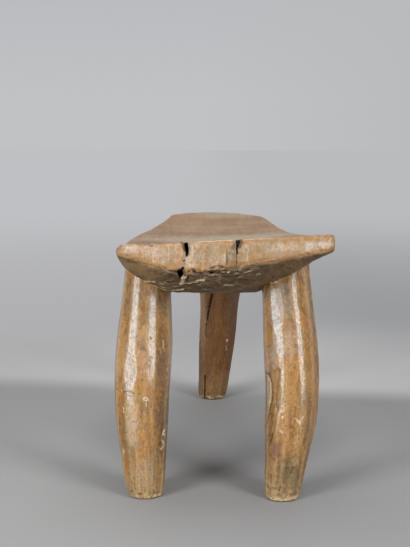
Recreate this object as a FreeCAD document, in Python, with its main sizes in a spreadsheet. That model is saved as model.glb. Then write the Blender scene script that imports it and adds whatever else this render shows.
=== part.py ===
import FreeCAD, Part
import math
import os
import sys

import Sketcher

# Three-legged stool, carved by hand from one block of wood: a long saddle seat with a wide
# front end, a rounded tail and a hull-shaped underside, on two front legs and one rear leg.
# Frame: X to the right seen from the front, Y from the front end to the tail, Z up.
# The origin is on the floor, under the middle of the seat's length and width. Millimetres.

SIZES = {
    # seat
    "seat_height": 266.0,       # floor to the highest corner of the front end
    "seat_length": 465.0,       # front end to the tip of the tail
    "seat_width": 216.0,        # across the widest places of the two sides
    "saddle_dip": 16.7,         # sag of the side rims below the line between the ends
    "tail_drop": 13.0,          # how much lower the tail is than the front end
    "left_lean": 9.5,           # how much lower the left front corner is than the right
    "seat_dish": 3.5,           # hollow of the top, across the seat
    "edge_thickness": 12.0,     # side edge of the seat
    "edge_round": 0.9,          # swell of the worn side edge
    "hull_depth": 76.5,         # highest corner down to the flat of the underside
    "keel_width": 98.0,         # flat of the underside between the front legs
    "keel_round": 1.5,          # swell of that flat
    "bilge_swell": 9.0,         # swell of the underside between flat and side edge
    "tail_radius": 75.5,        # rounded end of the seat, seen from above
    "tail_shift": 4.0,          # how far the tip of the tail lies to the left
    "corner_radius": 7.0,       # worn front corners, seen from above
    "arris_wear": 2.8,          # worn-off arris between the front end and the top
    # drying cracks in the front end
    "crack_gap": 1.3,           # width of a crack below its mouth, at the front end
    "crack_depth": 28.0,        # how far a crack runs into the seat
    "left_crack_place": -33.0,
    "left_crack_slant": -4.5,   # how far the crack wanders sideways on its way down
    "left_mouth_width": 7.5,    # broken-out mouth of the crack, at the top
    "left_mouth_drop": 17.0,
    "right_crack_place": 15.0,
    "right_crack_slant": 0.6,
    "right_mouth_width": 6.0,
    "right_mouth_drop": 10.5,
    # left front leg
    "left_inset": 34.5,         # side of the seat to the leg's axis, at its top
    "left_splay": 1.5,          # how far the foot stands further out than the top
    "left_bow": 5.0,            # outward bow of the leg
    "left_rake": 49.0,          # how far the foot stands further forward than the top
    "left_foot_width": 35.0,
    "left_belly_width": 57.6,
    "left_top_width": 46.0,
    # right front leg
    "right_inset": 42.5,
    "right_splay": -4.5,
    "right_bow": 7.9,
    "right_rake": 58.0,
    "right_foot_width": 33.0,
    "right_belly_width": 55.0,
    "right_top_width": 48.5,
    # both front legs
    "front_setback": 80.0,      # front end of the seat to the legs' axes, at their tops
    "front_bow": 9.0,           # forward bow
    # rear leg
    "rear_inset": 90.0,         # tip of the tail to the leg's axis, at its top
    "rear_rake": 47.0,          # how far the foot stands further back than the top
    "rear_bow": 8.0,            # backward bow
    "rear_offset": 6.0,         # the leg's axis at its top, to the right of the middle
    "rear_lean": 12.5,          # how far its foot stands to the left of its top
    "rear_side_bow": 2.5,
    "rear_foot_width": 35.0,
    "rear_belly_width": 54.0,
    "rear_top_width": 51.0,
    # cuts
    "overrun": 8.0,             # how far a cut, or what it trims, runs past the wood
}

# Cross-sections of the seat, front to tail. Each row holds, as shares:
# along: of seat_length; left, right: of half seat_width; dip: of saddle_dip; lean: of
# left_lean; dish: of seat_dish; edge_left, edge_right: of edge_thickness; keel: of
# hull_depth; keel_left, keel_right: of half keel_width, from the middle outwards;
# swell_left, swell_right: of bilge_swell
SEAT_SECTION_SHARES = (
    dict(along=0.00, left=0.930, right=1.000, dip=0.00, lean=1.00, dish=0.20,
         edge_left=0.83, edge_right=1.25, keel=0.458,
         keel_left=0.92, keel_right=-0.41, swell_left=0.04, swell_right=0.10),
    dict(along=0.12, left=0.975, right=0.985, dip=0.30, lean=1.05, dish=0.45,
         edge_left=0.90, edge_right=1.32, keel=0.824,
         keel_left=0.96, keel_right=0.50, swell_left=0.85, swell_right=0.55),
    dict(along=0.25, left=1.000, right=0.945, dip=0.58, lean=1.05, dish=0.80,
         edge_left=0.96, edge_right=1.20, keel=0.944,
         keel_left=1.02, keel_right=0.86, swell_left=1.10, swell_right=0.65),
    dict(along=0.40, left=0.975, right=0.858, dip=0.86, lean=0.79, dish=1.00,
         edge_left=1.00, edge_right=1.10, keel=1.000,
         keel_left=1.02, keel_right=0.86, swell_left=1.00, swell_right=0.75),
    dict(along=0.56, left=0.885, right=0.755, dip=1.00, lean=0.44, dish=1.00,
         edge_left=1.04, edge_right=1.04, keel=0.980,
         keel_left=0.92, keel_right=0.74, swell_left=0.80, swell_right=0.70),
    dict(along=0.72, left=0.765, right=0.695, dip=0.935, lean=0.28, dish=0.85,
         edge_left=1.12, edge_right=1.12, keel=0.902,
         keel_left=0.80, keel_right=0.66, swell_left=0.60, swell_right=0.55),
    dict(along=0.87, left=0.635, right=0.615, dip=0.70, lean=0.07, dish=0.60,
         edge_left=1.26, edge_right=1.26, keel=0.732,
         keel_left=0.66, keel_right=0.54, swell_left=0.45, swell_right=0.40),
    dict(along=1.02, left=0.500, right=0.500, dip=0.14, lean=0.00, dish=0.35,
         edge_left=1.48, edge_right=1.48, keel=0.536,
         keel_left=0.54, keel_right=0.44, swell_left=0.30, swell_right=0.30),
)
# Direction in which the underside swells between the flat and the side edge
SWELL_ACROSS_SHARE = 0.55
SWELL_DOWN_SHARE = 0.83
DIAGONAL_SHARE = math.sqrt(0.5)
# Where the mouth of a crack narrows to the crack itself, across the mouth
MOUTH_LEFT_SHARE = 0.80
# How wide a crack still is where it ends inside the seat
CRACK_END_SHARE = 0.15
# How far below the top its upper end lies there, of the mouth's drop
CRACK_SINK_SHARE = 0.80

# Stations up a leg. at: share of the blank's height; bow: of the leg's bows; foot, belly,
# top: shares of the three named widths that make up the leg's width there
LEFT_LEG_STATION_SHARES = (
    dict(at=0.00, bow=0.00, foot=0.97, belly=0.00, top=0.00),
    dict(at=0.03, bow=0.20, foot=0.86, belly=0.14, top=0.00),
    dict(at=0.10, bow=0.44, foot=0.65, belly=0.35, top=0.00),
    dict(at=0.25, bow=0.80, foot=0.33, belly=0.67, top=0.00),
    dict(at=0.41, bow=1.00, foot=0.12, belly=0.88, top=0.00),
    dict(at=0.56, bow=0.78, foot=0.00, belly=1.00, top=0.00),
    dict(at=0.70, bow=0.52, foot=0.00, belly=0.76, top=0.24),
    dict(at=0.83, bow=0.30, foot=0.00, belly=0.33, top=0.67),
    dict(at=1.00, bow=0.00, foot=0.00, belly=0.00, top=1.00),
)
RIGHT_LEG_STATION_SHARES = (
    dict(at=0.00, bow=0.00, foot=0.97, belly=0.00, top=0.00),
    dict(at=0.03, bow=0.06, foot=0.86, belly=0.14, top=0.00),
    dict(at=0.10, bow=0.23, foot=0.67, belly=0.33, top=0.00),
    dict(at=0.25, bow=0.68, foot=0.31, belly=0.69, top=0.00),
    dict(at=0.41, bow=1.00, foot=0.09, belly=0.91, top=0.00),
    dict(at=0.56, bow=0.92, foot=0.00, belly=1.00, top=0.00),
    dict(at=0.70, bow=0.64, foot=0.00, belly=0.76, top=0.24),
    dict(at=0.83, bow=0.30, foot=0.00, belly=0.33, top=0.67),
    dict(at=1.00, bow=0.00, foot=0.00, belly=0.00, top=1.00),
)
REAR_LEG_STATION_SHARES = (
    dict(at=0.000, bow=0.00, foot=0.97, belly=0.00, top=0.00),
    dict(at=0.025, bow=0.10, foot=0.84, belly=0.16, top=0.00),
    dict(at=0.090, bow=0.33, foot=0.68, belly=0.32, top=0.00),
    dict(at=0.250, bow=0.75, foot=0.44, belly=0.56, top=0.00),
    dict(at=0.440, bow=1.00, foot=0.22, belly=0.78, top=0.00),
    dict(at=0.620, bow=0.94, foot=0.07, belly=0.93, top=0.00),
    dict(at=0.800, bow=0.64, foot=0.00, belly=0.90, top=0.10),
    dict(at=1.000, bow=0.00, foot=0.00, belly=0.00, top=1.00),
)
# Corners of a leg's hewn cross-section, as shares of half its width: across, and front to back
LEFT_FACET_SHARES = (
    (-0.90, -0.52), (-0.52, -0.90), (-0.24, -1.00), (0.14, -1.00), (0.44, -0.885),
    (0.90, -0.45), (1.00, 0.20), (0.60, 0.85), (-0.15, 1.00), (-0.78, 0.68), (-1.00, 0.05),
)
RIGHT_FACET_SHARES = (
    (-0.92, -0.45), (-0.58, -0.86), (-0.24, -1.00), (0.26, -0.99), (0.46, -0.915),
    (0.74, -0.70), (1.00, -0.20), (0.90, 0.45), (0.40, 0.94), (-0.40, 0.96), (-1.00, 0.15),
)
REAR_FACET_SHARES = (
    (-0.72, -0.72), (-0.10, -1.00), (0.55, -0.88), (0.96, -0.36), (0.96, 0.35),
    (0.50, 0.90), (-0.20, 1.00), (-0.80, 0.66), (-1.00, 0.00),
)
# Where the leg blanks end, inside the seat, below its highest corner, of hull_depth
FRONT_BLANK_SHARE = 0.36
REAR_BLANK_SHARE = 0.50
# Front-to-back thickness of a leg, of its width
LEG_DEPTH_SHARE = 0.97

HALF_LENGTH = "Sizes.seat_length / 2"
HALF_WIDTH = "Sizes.seat_width / 2"
# Half the seat's width up to where the swell of its side edge starts
HALF_RIM = "(Sizes.seat_width / 2 - Sizes.edge_round)"


def make_sheet(doc):
    """Spreadsheet with the driving dimensions, one alias a row."""
    sheet = doc.addObject("Spreadsheet::Sheet", "Sizes")
    for row, (alias, value) in enumerate(SIZES.items(), start=1):
        sheet.set(f"A{row}", alias)
        sheet.set(f"B{row}", str(value))
        sheet.setAlias(f"B{row}", alias)
    doc.recompute()
    return sheet


def make_body(doc, name):
    """Empty body with its own label."""
    body = doc.addObject("PartDesign::Body", name)
    body.Label = name
    return body


def origin_plane(body, role):
    """One of the body's own origin planes."""
    return next(f for f in body.Origin.OriginFeatures if f.Role == role)


def make_sketch(body, name, role, offset):
    """Sketch on an origin plane of its body, moved along the plane's normal by an expression."""
    sketch = body.newObject("Sketcher::SketchObject", name)
    sketch.AttachmentSupport = (origin_plane(body, role), [""])
    sketch.MapMode = "FlatFace"
    sketch.setExpression(".AttachmentOffset.Base.z", offset)
    body.Document.recompute()
    return sketch


def point_at(sketch, place):
    """Vector of a pair of expressions."""
    x, y = (float(sketch.evalExpression(value)) for value in place)
    return FreeCAD.Vector(x, y, 0)


def pin_point(sketch, geometry, position, place, label):
    """Bind one point of the sketch to a pair of expressions."""
    here = point_at(sketch, place)
    for kind, value, expression in (
        ("DistanceX", here.x, place[0]),
        ("DistanceY", here.y, place[1]),
    ):
        index = sketch.addConstraint(
            Sketcher.Constraint(kind, -1, 1, geometry, position, value)
        )
        constraint = f"{label}_{kind[-1].lower()}"
        sketch.renameConstraint(index, constraint)
        sketch.setExpression(f"Constraints.{constraint}", expression)


def draw_outline(sketch, corners, middles=None):
    """Closed outline through the corners: straight sides, or arcs through the given middles."""
    count = len(corners)
    middles = middles or [None] * count
    starts, ends = [], []
    for index, (corner, middle) in enumerate(zip(corners, middles)):
        begin = point_at(sketch, corner)
        finish = point_at(sketch, corners[(index + 1) % count])
        if middle is None:
            side = sketch.addGeometry(Part.LineSegment(begin, finish), False)
            starts.append((side, 1))
            ends.append((side, 2))
            continue
        centre = point_at(sketch, middle)
        forward = (centre - begin).cross(finish - centre).z > 0
        ends_in_turn = (begin, finish) if forward else (finish, begin)
        side = sketch.addGeometry(Part.Arc(ends_in_turn[0], centre, ends_in_turn[1]), False)
        starts.append((side, 1 if forward else 2))
        ends.append((side, 2 if forward else 1))
    for index in range(count):
        following = (index + 1) % count
        sketch.addConstraint(Sketcher.Constraint("Coincident", *ends[index], *starts[following]))
        pin_point(sketch, *starts[index], corners[index], f"corner{index}")
    for index, middle in enumerate(middles):
        if middle is not None:
            mark = sketch.addGeometry(Part.Point(point_at(sketch, middle)), True)
            pin_point(sketch, mark, 1, middle, f"middle{index}")
            sketch.addConstraint(
                Sketcher.Constraint("PointOnObject", mark, 1, starts[index][0])
            )
    sketch.Document.recompute()


def mean(first, second):
    """Expression for the middle of two."""
    return f"(({first}) + ({second})) / 2"


def seat_section(share):
    """Corners and arc middles of one cross-section of the seat, as expressions."""
    left, right = f"-{HALF_RIM} * {share['left']}", f"{HALF_RIM} * {share['right']}"
    rim_right = (
        f"Sizes.seat_height - Sizes.saddle_dip * {share['dip']}"
        f" - Sizes.tail_drop * {share['along']}"
    )
    rim_left = f"{rim_right} - Sizes.left_lean * {share['lean']}"
    low_left = f"{rim_left} - Sizes.edge_thickness * {share['edge_left']}"
    low_right = f"{rim_right} - Sizes.edge_thickness * {share['edge_right']}"
    keel = f"Sizes.seat_height - Sizes.hull_depth * {share['keel']}"
    keel_left = f"-Sizes.keel_width / 2 * {share['keel_left']}"
    keel_right = f"Sizes.keel_width / 2 * ({share['keel_right']})"
    corners = [
        (left, rim_left),
        (left, low_left),
        (keel_left, keel),
        (keel_right, keel),
        (right, low_right),
        (right, rim_right),
    ]
    width_share = min(1.0, abs(share["keel_left"] + share["keel_right"]))
    middles = [
        (f"{left} - Sizes.edge_round", mean(rim_left, low_left)),
        bilge_middle(left, keel_left, low_left, keel, "-", share["swell_left"]),
        (mean(keel_left, keel_right), f"{keel} - Sizes.keel_round * {width_share}"),
        bilge_middle(right, keel_right, low_right, keel, "+", share["swell_right"]),
        (f"{right} + Sizes.edge_round", mean(rim_right, low_right)),
        (mean(left, right), f"{mean(rim_left, rim_right)} - Sizes.seat_dish * {share['dish']}"),
    ]
    return corners, middles


def bilge_middle(outer, inner, low, keel, outward, swell):
    """Middle of the arc from the flat of the underside up to the side edge."""
    return (
        f"{mean(outer, inner)} {outward} Sizes.bilge_swell * {swell} * {SWELL_ACROSS_SHARE}",
        f"{mean(low, keel)} - Sizes.bilge_swell * {swell} * {SWELL_DOWN_SHARE}",
    )


def loft(body, kind, name, sketches):
    """Loft through sketches, added or taken away."""
    feature = body.newObject(f"PartDesign::{kind}", name)
    feature.Profile = sketches[0]
    feature.Sections = sketches[1:]
    feature.Ruled = False
    body.Document.recompute()
    return feature


def must_cut(body, volume):
    """Stop if the newest feature took no wood away: a cut that points away shows no error."""
    if body.Shape.Volume >= volume:
        sys.exit(f"{body.Tip.Name} cuts nothing")


def round_tail(body):
    """Trim the end of the seat to an arc, seen from above."""
    sketch = make_sketch(body, "tail_outline", "XY_Plane", "0")
    west, east = "-Sizes.tail_shift - Sizes.tail_radius", "-Sizes.tail_shift + Sizes.tail_radius"
    centre = f"{HALF_LENGTH} - Sizes.tail_radius"
    far_west = f"-{HALF_WIDTH} - Sizes.overrun"
    far_east = f"{HALF_WIDTH} + Sizes.overrun"
    hull_end = f"Sizes.seat_length * {SEAT_SECTION_SHARES[-1]['along']} - {HALF_LENGTH}"
    past = f"{hull_end} + Sizes.overrun"
    corners = [
        (west, centre), (east, centre), (far_east, centre),
        (far_east, past), (far_west, past), (far_west, centre),
    ]
    draw_outline(sketch, corners, [("-Sizes.tail_shift", HALF_LENGTH)] + [None] * 5)
    pocket_through(body, "tail_round", sketch)


def pocket_through(body, name, sketch):
    """Cut an outline drawn on the floor plane right up through the seat."""
    volume = body.Shape.Volume
    pocket = body.newObject("PartDesign::Pocket", name)
    pocket.Profile = sketch
    pocket.Type = "ThroughAll"
    pocket.Reversed = True
    body.Document.recompute()
    must_cut(body, volume)


def wear_arris(body):
    """Take off the arris between the front end and the top, the front end's longest edge."""
    volume = body.Shape.Volume
    front = body.Shape.BoundBox.YMin
    arris = max(
        (edge.Length, number)
        for number, edge in enumerate(body.Shape.Edges, start=1)
        if round(edge.BoundBox.YMax - front, 3) == 0
    )[1]
    chamfer = body.newObject("PartDesign::Chamfer", "front_arris")
    chamfer.Base = (body.getObject("tail_round"), [f"Edge{arris}"])
    chamfer.setExpression("Size", "Sizes.arris_wear")
    body.Document.recompute()
    must_cut(body, volume)


def wear_corner(body, side, sign):
    """Round one front corner of the seat, seen from above."""
    sketch = make_sketch(body, f"{side}_corner_outline", "XY_Plane", "0")
    edge = f"{sign} * ({HALF_RIM} * {SEAT_SECTION_SHARES[0][side]} + Sizes.edge_round)"
    inner = f"{edge} - {sign} * Sizes.corner_radius"
    flank = f"{edge} + {sign} * Sizes.edge_round"
    outer = f"{edge} + {sign} * Sizes.overrun"
    front, back = f"-{HALF_LENGTH}", f"-{HALF_LENGTH} + Sizes.corner_radius"
    before = f"{front} - Sizes.overrun"
    corners = [
        (inner, before), (outer, before), (outer, back), (flank, back), (inner, front),
    ]
    middle = (
        f"{inner} + {sign} * Sizes.corner_radius * {DIAGONAL_SHARE}",
        f"{back} - Sizes.corner_radius * {DIAGONAL_SHARE}",
    )
    draw_outline(sketch, corners, [None, None, None, middle, None])
    pocket_through(body, f"{side}_corner", sketch)


def crack_outline(side, lip, opening):
    """Corners of a crack, drawn on an upright plane across the seat."""
    place = f"Sizes.{side}_crack_place"
    foot = f"{place} + Sizes.{side}_crack_slant"
    brim = f"Sizes.seat_height - Sizes.left_lean * (0.5 - {place} / Sizes.seat_width)"
    gap = f"Sizes.crack_gap / 2 * {opening}"
    mouth = f"Sizes.{side}_mouth_width * {opening}"
    throat = f"{brim} - Sizes.{side}_mouth_drop"
    below = "Sizes.seat_height - Sizes.hull_depth - Sizes.overrun"
    return [
        (f"{place} - {mouth} * {MOUTH_LEFT_SHARE}", f"{brim} + {lip}"),
        (f"{place} + {mouth} * (1 - {MOUTH_LEFT_SHARE})", f"{brim} + {lip}"),
        (f"{place} + {gap}", throat),
        (f"{foot} + {gap}", below),
        (f"{foot} - {gap}", below),
        (f"{place} - {gap}", throat),
    ]


def cut_crack(body, side):
    """Drying crack: open at the front end, with a broken mouth, and closing inwards."""
    opened = make_sketch(body, f"{side}_crack_front", "XZ_Plane", HALF_LENGTH)
    draw_outline(opened, crack_outline(side, "Sizes.overrun", 1))
    closed = make_sketch(
        body, f"{side}_crack_end", "XZ_Plane", f"{HALF_LENGTH} - Sizes.crack_depth"
    )
    sunk = f"-Sizes.{side}_mouth_drop * {CRACK_SINK_SHARE}"
    draw_outline(closed, crack_outline(side, sunk, CRACK_END_SHARE))
    volume = body.Shape.Volume
    loft(body, "SubtractiveLoft", f"{side}_crack", [opened, closed])
    must_cut(body, volume)


def make_seat(doc):
    """Seat: lofted hull, rounded tail, worn front arris and corners, two drying cracks."""
    body = make_body(doc, "seat")
    sections = []
    for index, share in enumerate(SEAT_SECTION_SHARES):
        offset = f"{HALF_LENGTH} - Sizes.seat_length * {share['along']}"
        sketch = make_sketch(body, f"seat_section{index}", "XZ_Plane", offset)
        draw_outline(sketch, *seat_section(share))
        sections.append(sketch)
    loft(body, "AdditiveLoft", "seat_hull", sections)
    round_tail(body)
    wear_arris(body)
    for side, sign in (("left", -1), ("right", 1)):
        wear_corner(body, side, sign)
        cut_crack(body, side)
    return body


def leg_axis(ends, share):
    """Expression for the leg's axis at a station: between foot and top, with its bow."""
    top, foot, bow = ends
    return f"({foot}) + (({top}) - ({foot})) * {share['at']} + ({bow}) * {share['bow']}"


def make_leg(doc, name, side, blank_share, stations, facets, across, along, seat):
    """Leg: a loft of hewn cross-sections on a bowed axis, cut to the seat's underside.

    across and along each hold the axis at the top, at the foot, and its bow, as expressions."""
    blank = make_body(doc, f"{name}_blank")
    height = f"(Sizes.seat_height - Sizes.hull_depth * {blank_share})"
    sections = []
    for index, share in enumerate(stations):
        sketch = make_sketch(
            blank, f"{name}_section{index}", "XY_Plane", f"{height} * {share['at']}"
        )
        half = " + ".join(
            f"Sizes.{side}_{part}_width / 2 * {share[part]}" for part in ("foot", "belly", "top")
        )
        middle_x, middle_y = leg_axis(across, share), leg_axis(along, share)
        draw_outline(sketch, [
            (f"{middle_x} + ({half}) * {x}", f"{middle_y} + ({half}) * {y} * {LEG_DEPTH_SHARE}")
            for x, y in facets
        ])
        sections.append(sketch)
    loft(blank, "AdditiveLoft", f"{name}_loft", sections)
    leg = doc.addObject("Part::Cut", name)
    leg.Label = name
    leg.Base = blank
    leg.Tool = seat
    doc.recompute()
    return leg


def make_legs(doc, seat):
    """The two front legs and the rear leg."""
    front_top = f"-{HALF_LENGTH} + Sizes.front_setback"
    rear_top = f"{HALF_LENGTH} - Sizes.rear_inset"
    left_top = f"-{HALF_WIDTH} + Sizes.left_inset"
    right_top = f"{HALF_WIDTH} - Sizes.right_inset"
    return [
        make_leg(
            doc, "front_left_leg", "left", FRONT_BLANK_SHARE,
            LEFT_LEG_STATION_SHARES, LEFT_FACET_SHARES,
            (left_top, f"{left_top} - Sizes.left_splay", "-Sizes.left_bow"),
            (front_top, f"{front_top} - Sizes.left_rake", "-Sizes.front_bow"),
            seat,
        ),
        make_leg(
            doc, "front_right_leg", "right", FRONT_BLANK_SHARE,
            RIGHT_LEG_STATION_SHARES, RIGHT_FACET_SHARES,
            (right_top, f"{right_top} + Sizes.right_splay", "Sizes.right_bow"),
            (front_top, f"{front_top} - Sizes.right_rake", "-Sizes.front_bow"),
            seat,
        ),
        make_leg(
            doc, "rear_leg", "rear", REAR_BLANK_SHARE,
            REAR_LEG_STATION_SHARES, REAR_FACET_SHARES,
            ("Sizes.rear_offset", "Sizes.rear_offset - Sizes.rear_lean", "Sizes.rear_side_bow"),
            (rear_top, f"{rear_top} + Sizes.rear_rake", "Sizes.rear_bow"),
            seat,
        ),
    ]


def check(doc, parts):
    """Stop if any object failed or any piece is not one sound solid."""
    for item in doc.Objects:
        if {"Invalid", "Error"} & set(item.State):
            sys.exit(f"{item.Name} failed: {item.State}")
    for part in parts:
        shape = part.Shape
        if shape.isNull() or not shape.isValid() or len(shape.Solids) != 1:
            sys.exit(f"{part.Label} is not one valid solid")


def main():
    """Build the stool and write one STEP file a piece."""
    doc = FreeCAD.newDocument("stool")
    make_sheet(doc)
    seat = make_seat(doc)
    parts = [seat] + make_legs(doc, seat)
    check(doc, parts)
    os.makedirs("parts", exist_ok=True)
    for part in parts:
        part.Shape.exportStep(f"parts/{part.Label}.step")
        print(part.Label, f"{part.Shape.Volume:.0f} mm3", len(part.Shape.Faces), "faces")


main()
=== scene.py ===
"""Three-legged carved stool: a saddle seat and three stout legs from one block of hardwood.

Each piece starts as a merged copy of its CAD node. Cracks and cavities are cut with small
solids, the whole is remeshed finely, and the surface is then carved and painted vertex by
vertex: tool facets, worn arrises, torn fibres, scratches. The materials read what was
painted and add grain, pores and patina.
"""

import logging
import math
from dataclasses import dataclass, field
from enum import Enum
from typing import Optional

import bmesh
import bpy
import numpy as np
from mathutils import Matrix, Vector, noise


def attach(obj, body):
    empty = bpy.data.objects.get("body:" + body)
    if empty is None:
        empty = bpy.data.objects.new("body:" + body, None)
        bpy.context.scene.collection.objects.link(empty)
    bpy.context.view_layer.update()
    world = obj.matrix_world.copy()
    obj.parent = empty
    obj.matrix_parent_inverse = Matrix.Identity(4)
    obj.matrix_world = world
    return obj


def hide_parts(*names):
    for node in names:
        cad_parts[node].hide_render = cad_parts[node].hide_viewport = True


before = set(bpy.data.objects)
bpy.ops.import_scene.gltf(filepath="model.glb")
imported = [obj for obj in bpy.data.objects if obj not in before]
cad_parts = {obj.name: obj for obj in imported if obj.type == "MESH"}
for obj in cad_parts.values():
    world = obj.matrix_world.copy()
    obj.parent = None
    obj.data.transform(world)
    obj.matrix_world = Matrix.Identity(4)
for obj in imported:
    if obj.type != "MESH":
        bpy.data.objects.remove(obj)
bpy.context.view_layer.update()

MM = 0.001
SAME_PLACE = 1e-6
MIX_A, MIX_B, MIX_OUT = 6, 7, 2
Point = tuple[float, float, float]
Pair = tuple[float, float]
Pairs = tuple[Pair, ...]
Tree = bpy.types.NodeTree
Socket = bpy.types.NodeSocket
Object = bpy.types.Object

log = logging.getLogger("stool")


class Tone(Enum):
    """What is painted on the wood, each as a vertex attribute of that name."""

    END = "end"
    UNDER = "under"
    OCHRE = "ochre"
    GREY = "grey"
    TORN = "torn"
    PALE = "pale"
    DARK = "dark"
    # ridges, and painted light on the seat's underside
    RIDGE_AND_LIGHT = "ridge"
    # grooves, and painted shade under the seat's front arris
    GROOVE_AND_SHADE = "groove"


END, UNDER, OCHRE, GREY, TORN, PALE, DARK, RIDGE_AND_LIGHT, GROOVE_AND_SHADE = Tone


@dataclass(frozen=True)
class Mark:
    """Scratch, flake, crack or chip along a line on the surface, in millimetres.

    A positive depth is cut into the wood, a negative one stands proud. A broken mark
    fades out here and there, from 0 for a whole line to 1.
    """

    path: tuple[Point, ...]
    width: float
    depth: float
    tone: Tone
    amount: float = 1.0
    broken: float = 0.0


@dataclass(frozen=True)
class Patch:
    """Soft spot of colour round a centre, in millimetres."""

    centre: Point
    radii: Point
    tone: Tone
    amount: float = 1.0


@dataclass(frozen=True)
class Flat:
    """Long flat cut of the adze: a place on the surface, where the cut faces, its depth.

    The turn is from straight ahead to the right and the tilt is upwards, in degrees. Past
    its reach the cut grows shallower by `fade` for each millimetre.
    """

    place: Point
    turn: float
    tilt: float
    depth: float
    reach: float = 34.0
    fade: float = 0.25


@dataclass(frozen=True)
class Chip:
    """Piece broken off the front end: its outline across and up, and how deep it goes."""

    outline: Pairs
    depth_left: float
    depth_right: float
    roughness: float
    tone: Tone
    amount: float


@dataclass(frozen=True)
class Cavity:
    """Hole that runs into the wood from the front end: outline across and up, its back.

    The taper is how much of the outline is left at the back, and ragged is how far its
    corners stray, in millimetres.
    """

    outline: Pairs
    back: float
    taper: float
    ragged: float = 0.4
    front: float = -238.0


def linear(colour: str) -> tuple[float, float, float, float]:
    """Turn an sRGB hex colour to linear light.

    Args:
        colour: six hex digits after a hash.

    Returns:
        Red, green, blue and an alpha of one.
    """
    channels = (int(colour[i : i + 2], 16) / 255 for i in (1, 3, 5))
    light = (c / 12.92 if c <= 0.04045 else ((c + 0.055) / 1.055) ** 2.4 for c in channels)
    return (*light, 1.0)


def add_node(
    tree: Tree, kind: str, inputs: Optional[dict] = None, **settings: object
) -> bpy.types.Node:
    """Add a node with its settings, and give its inputs values or links.

    Args:
        tree: node tree that gets the node.
        kind: the node's type name.
        inputs: input name or number, to a value or another node's output.
        settings: attributes of the node.

    Returns:
        The new node.
    """
    node = tree.nodes.new(kind)
    for name, value in settings.items():
        setattr(node, name, value)
    for key, value in (inputs or {}).items():
        if isinstance(value, Socket):
            tree.links.new(value, node.inputs[key])
        else:
            node.inputs[key].default_value = value
    return node


def lay_over(tree: Tree, base: object, coats: tuple) -> Socket:
    """Lay colours over a base, each by its own amount.

    Args:
        tree: node tree that gets the nodes.
        base: colour underneath, as linear light or an output.
        coats: from the bottom up, each with its colour, where it lies and the most of it.

    Returns:
        The colour on top.
    """
    for colour, amount, most in coats:
        share = add_node(
            tree, "ShaderNodeMath", {0: amount, 1: most}, operation="MULTIPLY", use_clamp=True
        ).outputs[0]
        over = colour if isinstance(colour, Socket) else linear(colour)
        base = add_node(
            tree, "ShaderNodeMix", {0: share, MIX_A: base, MIX_B: over}, data_type="RGBA"
        ).outputs[MIX_OUT]
    return base


def ramp(low: float, high: float, values: np.ndarray) -> np.ndarray:
    """Smooth step from 0 at low to 1 at high; low may be the larger."""
    share = np.clip((values - low) / (high - low), 0.0, 1.0)
    return share * share * (3.0 - 2.0 * share)


def unevenness(points: np.ndarray, size: Point, seed: float, octaves: int = 3) -> np.ndarray:
    """Smooth random relief over points.

    Args:
        points: places in millimetres.
        size: width of a swell along each axis, in millimetres.
        seed: shift that makes one relief unlike the next.
        octaves: how many finer layers are added.

    Returns:
        One value a point, about -1 to 1.
    """
    places = points / np.array(size) + seed
    return np.fromiter(
        (noise.fractal(place, 1.0, 2.0, octaves) for place in places.tolist()),
        float,
        len(places),
    )


@dataclass(frozen=True)
class Relief:
    """Random relief: how wide its swells are along each axis, how high, its seed."""

    size: Point
    seed: float
    height: float = 1.0
    octaves: int = 3

    def over(self, points: np.ndarray, seed: float = 0.0) -> np.ndarray:
        """Height at each point, with the piece's own seed added."""
        return unevenness(points, self.size, seed + self.seed, self.octaves) * self.height


def facets(points: np.ndarray, size: Point, seed: float) -> np.ndarray:
    """Dished cuts of an adze, side by side.

    Args:
        points: places in millimetres.
        size: width of a cut along each axis, in millimetres.
        seed: shift that makes one pattern unlike the next.

    Returns:
        0 in the middle of a cut, about 1 on the ridges between cuts.
    """
    places = points / np.array(size) + seed
    return np.fromiter(
        (min(1.0, noise.voronoi(place)[0][0] ** 2 * 2.2) for place in places.tolist()),
        float,
        len(places),
    )


def path_distance(points: np.ndarray, path: np.ndarray) -> np.ndarray:
    """Distance of each point from a line through the places of a path."""
    nearest = np.full(len(points), np.inf)
    for begin, end in zip(path[:-1], path[1:]):
        run = end - begin
        length = max(float(run @ run), 1e-9)
        share = np.clip(((points - begin) @ run) / length, 0.0, 1.0)
        gap = points - (begin + share[:, None] * run)
        nearest = np.minimum(nearest, np.sqrt((gap * gap).sum(axis=1)))
    return nearest


def inside(outline: Pairs, across: np.ndarray, up: np.ndarray) -> np.ndarray:
    """How far each point lies inside a convex outline, negative outside it."""
    depth = np.full(len(across), np.inf)
    corners = list(outline)
    middle = np.mean(corners, axis=0)
    for (x0, z0), (x1, z1) in zip(corners, corners[1:] + corners[:1]):
        length = math.hypot(x1 - x0, z1 - z0)
        normal = np.array([-(z1 - z0), x1 - x0]) / length
        if (middle - (x0, z0)) @ normal < 0:
            normal = -normal
        depth = np.minimum(depth, (across - x0) * normal[0] + (up - z0) * normal[1])
    return depth


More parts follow.
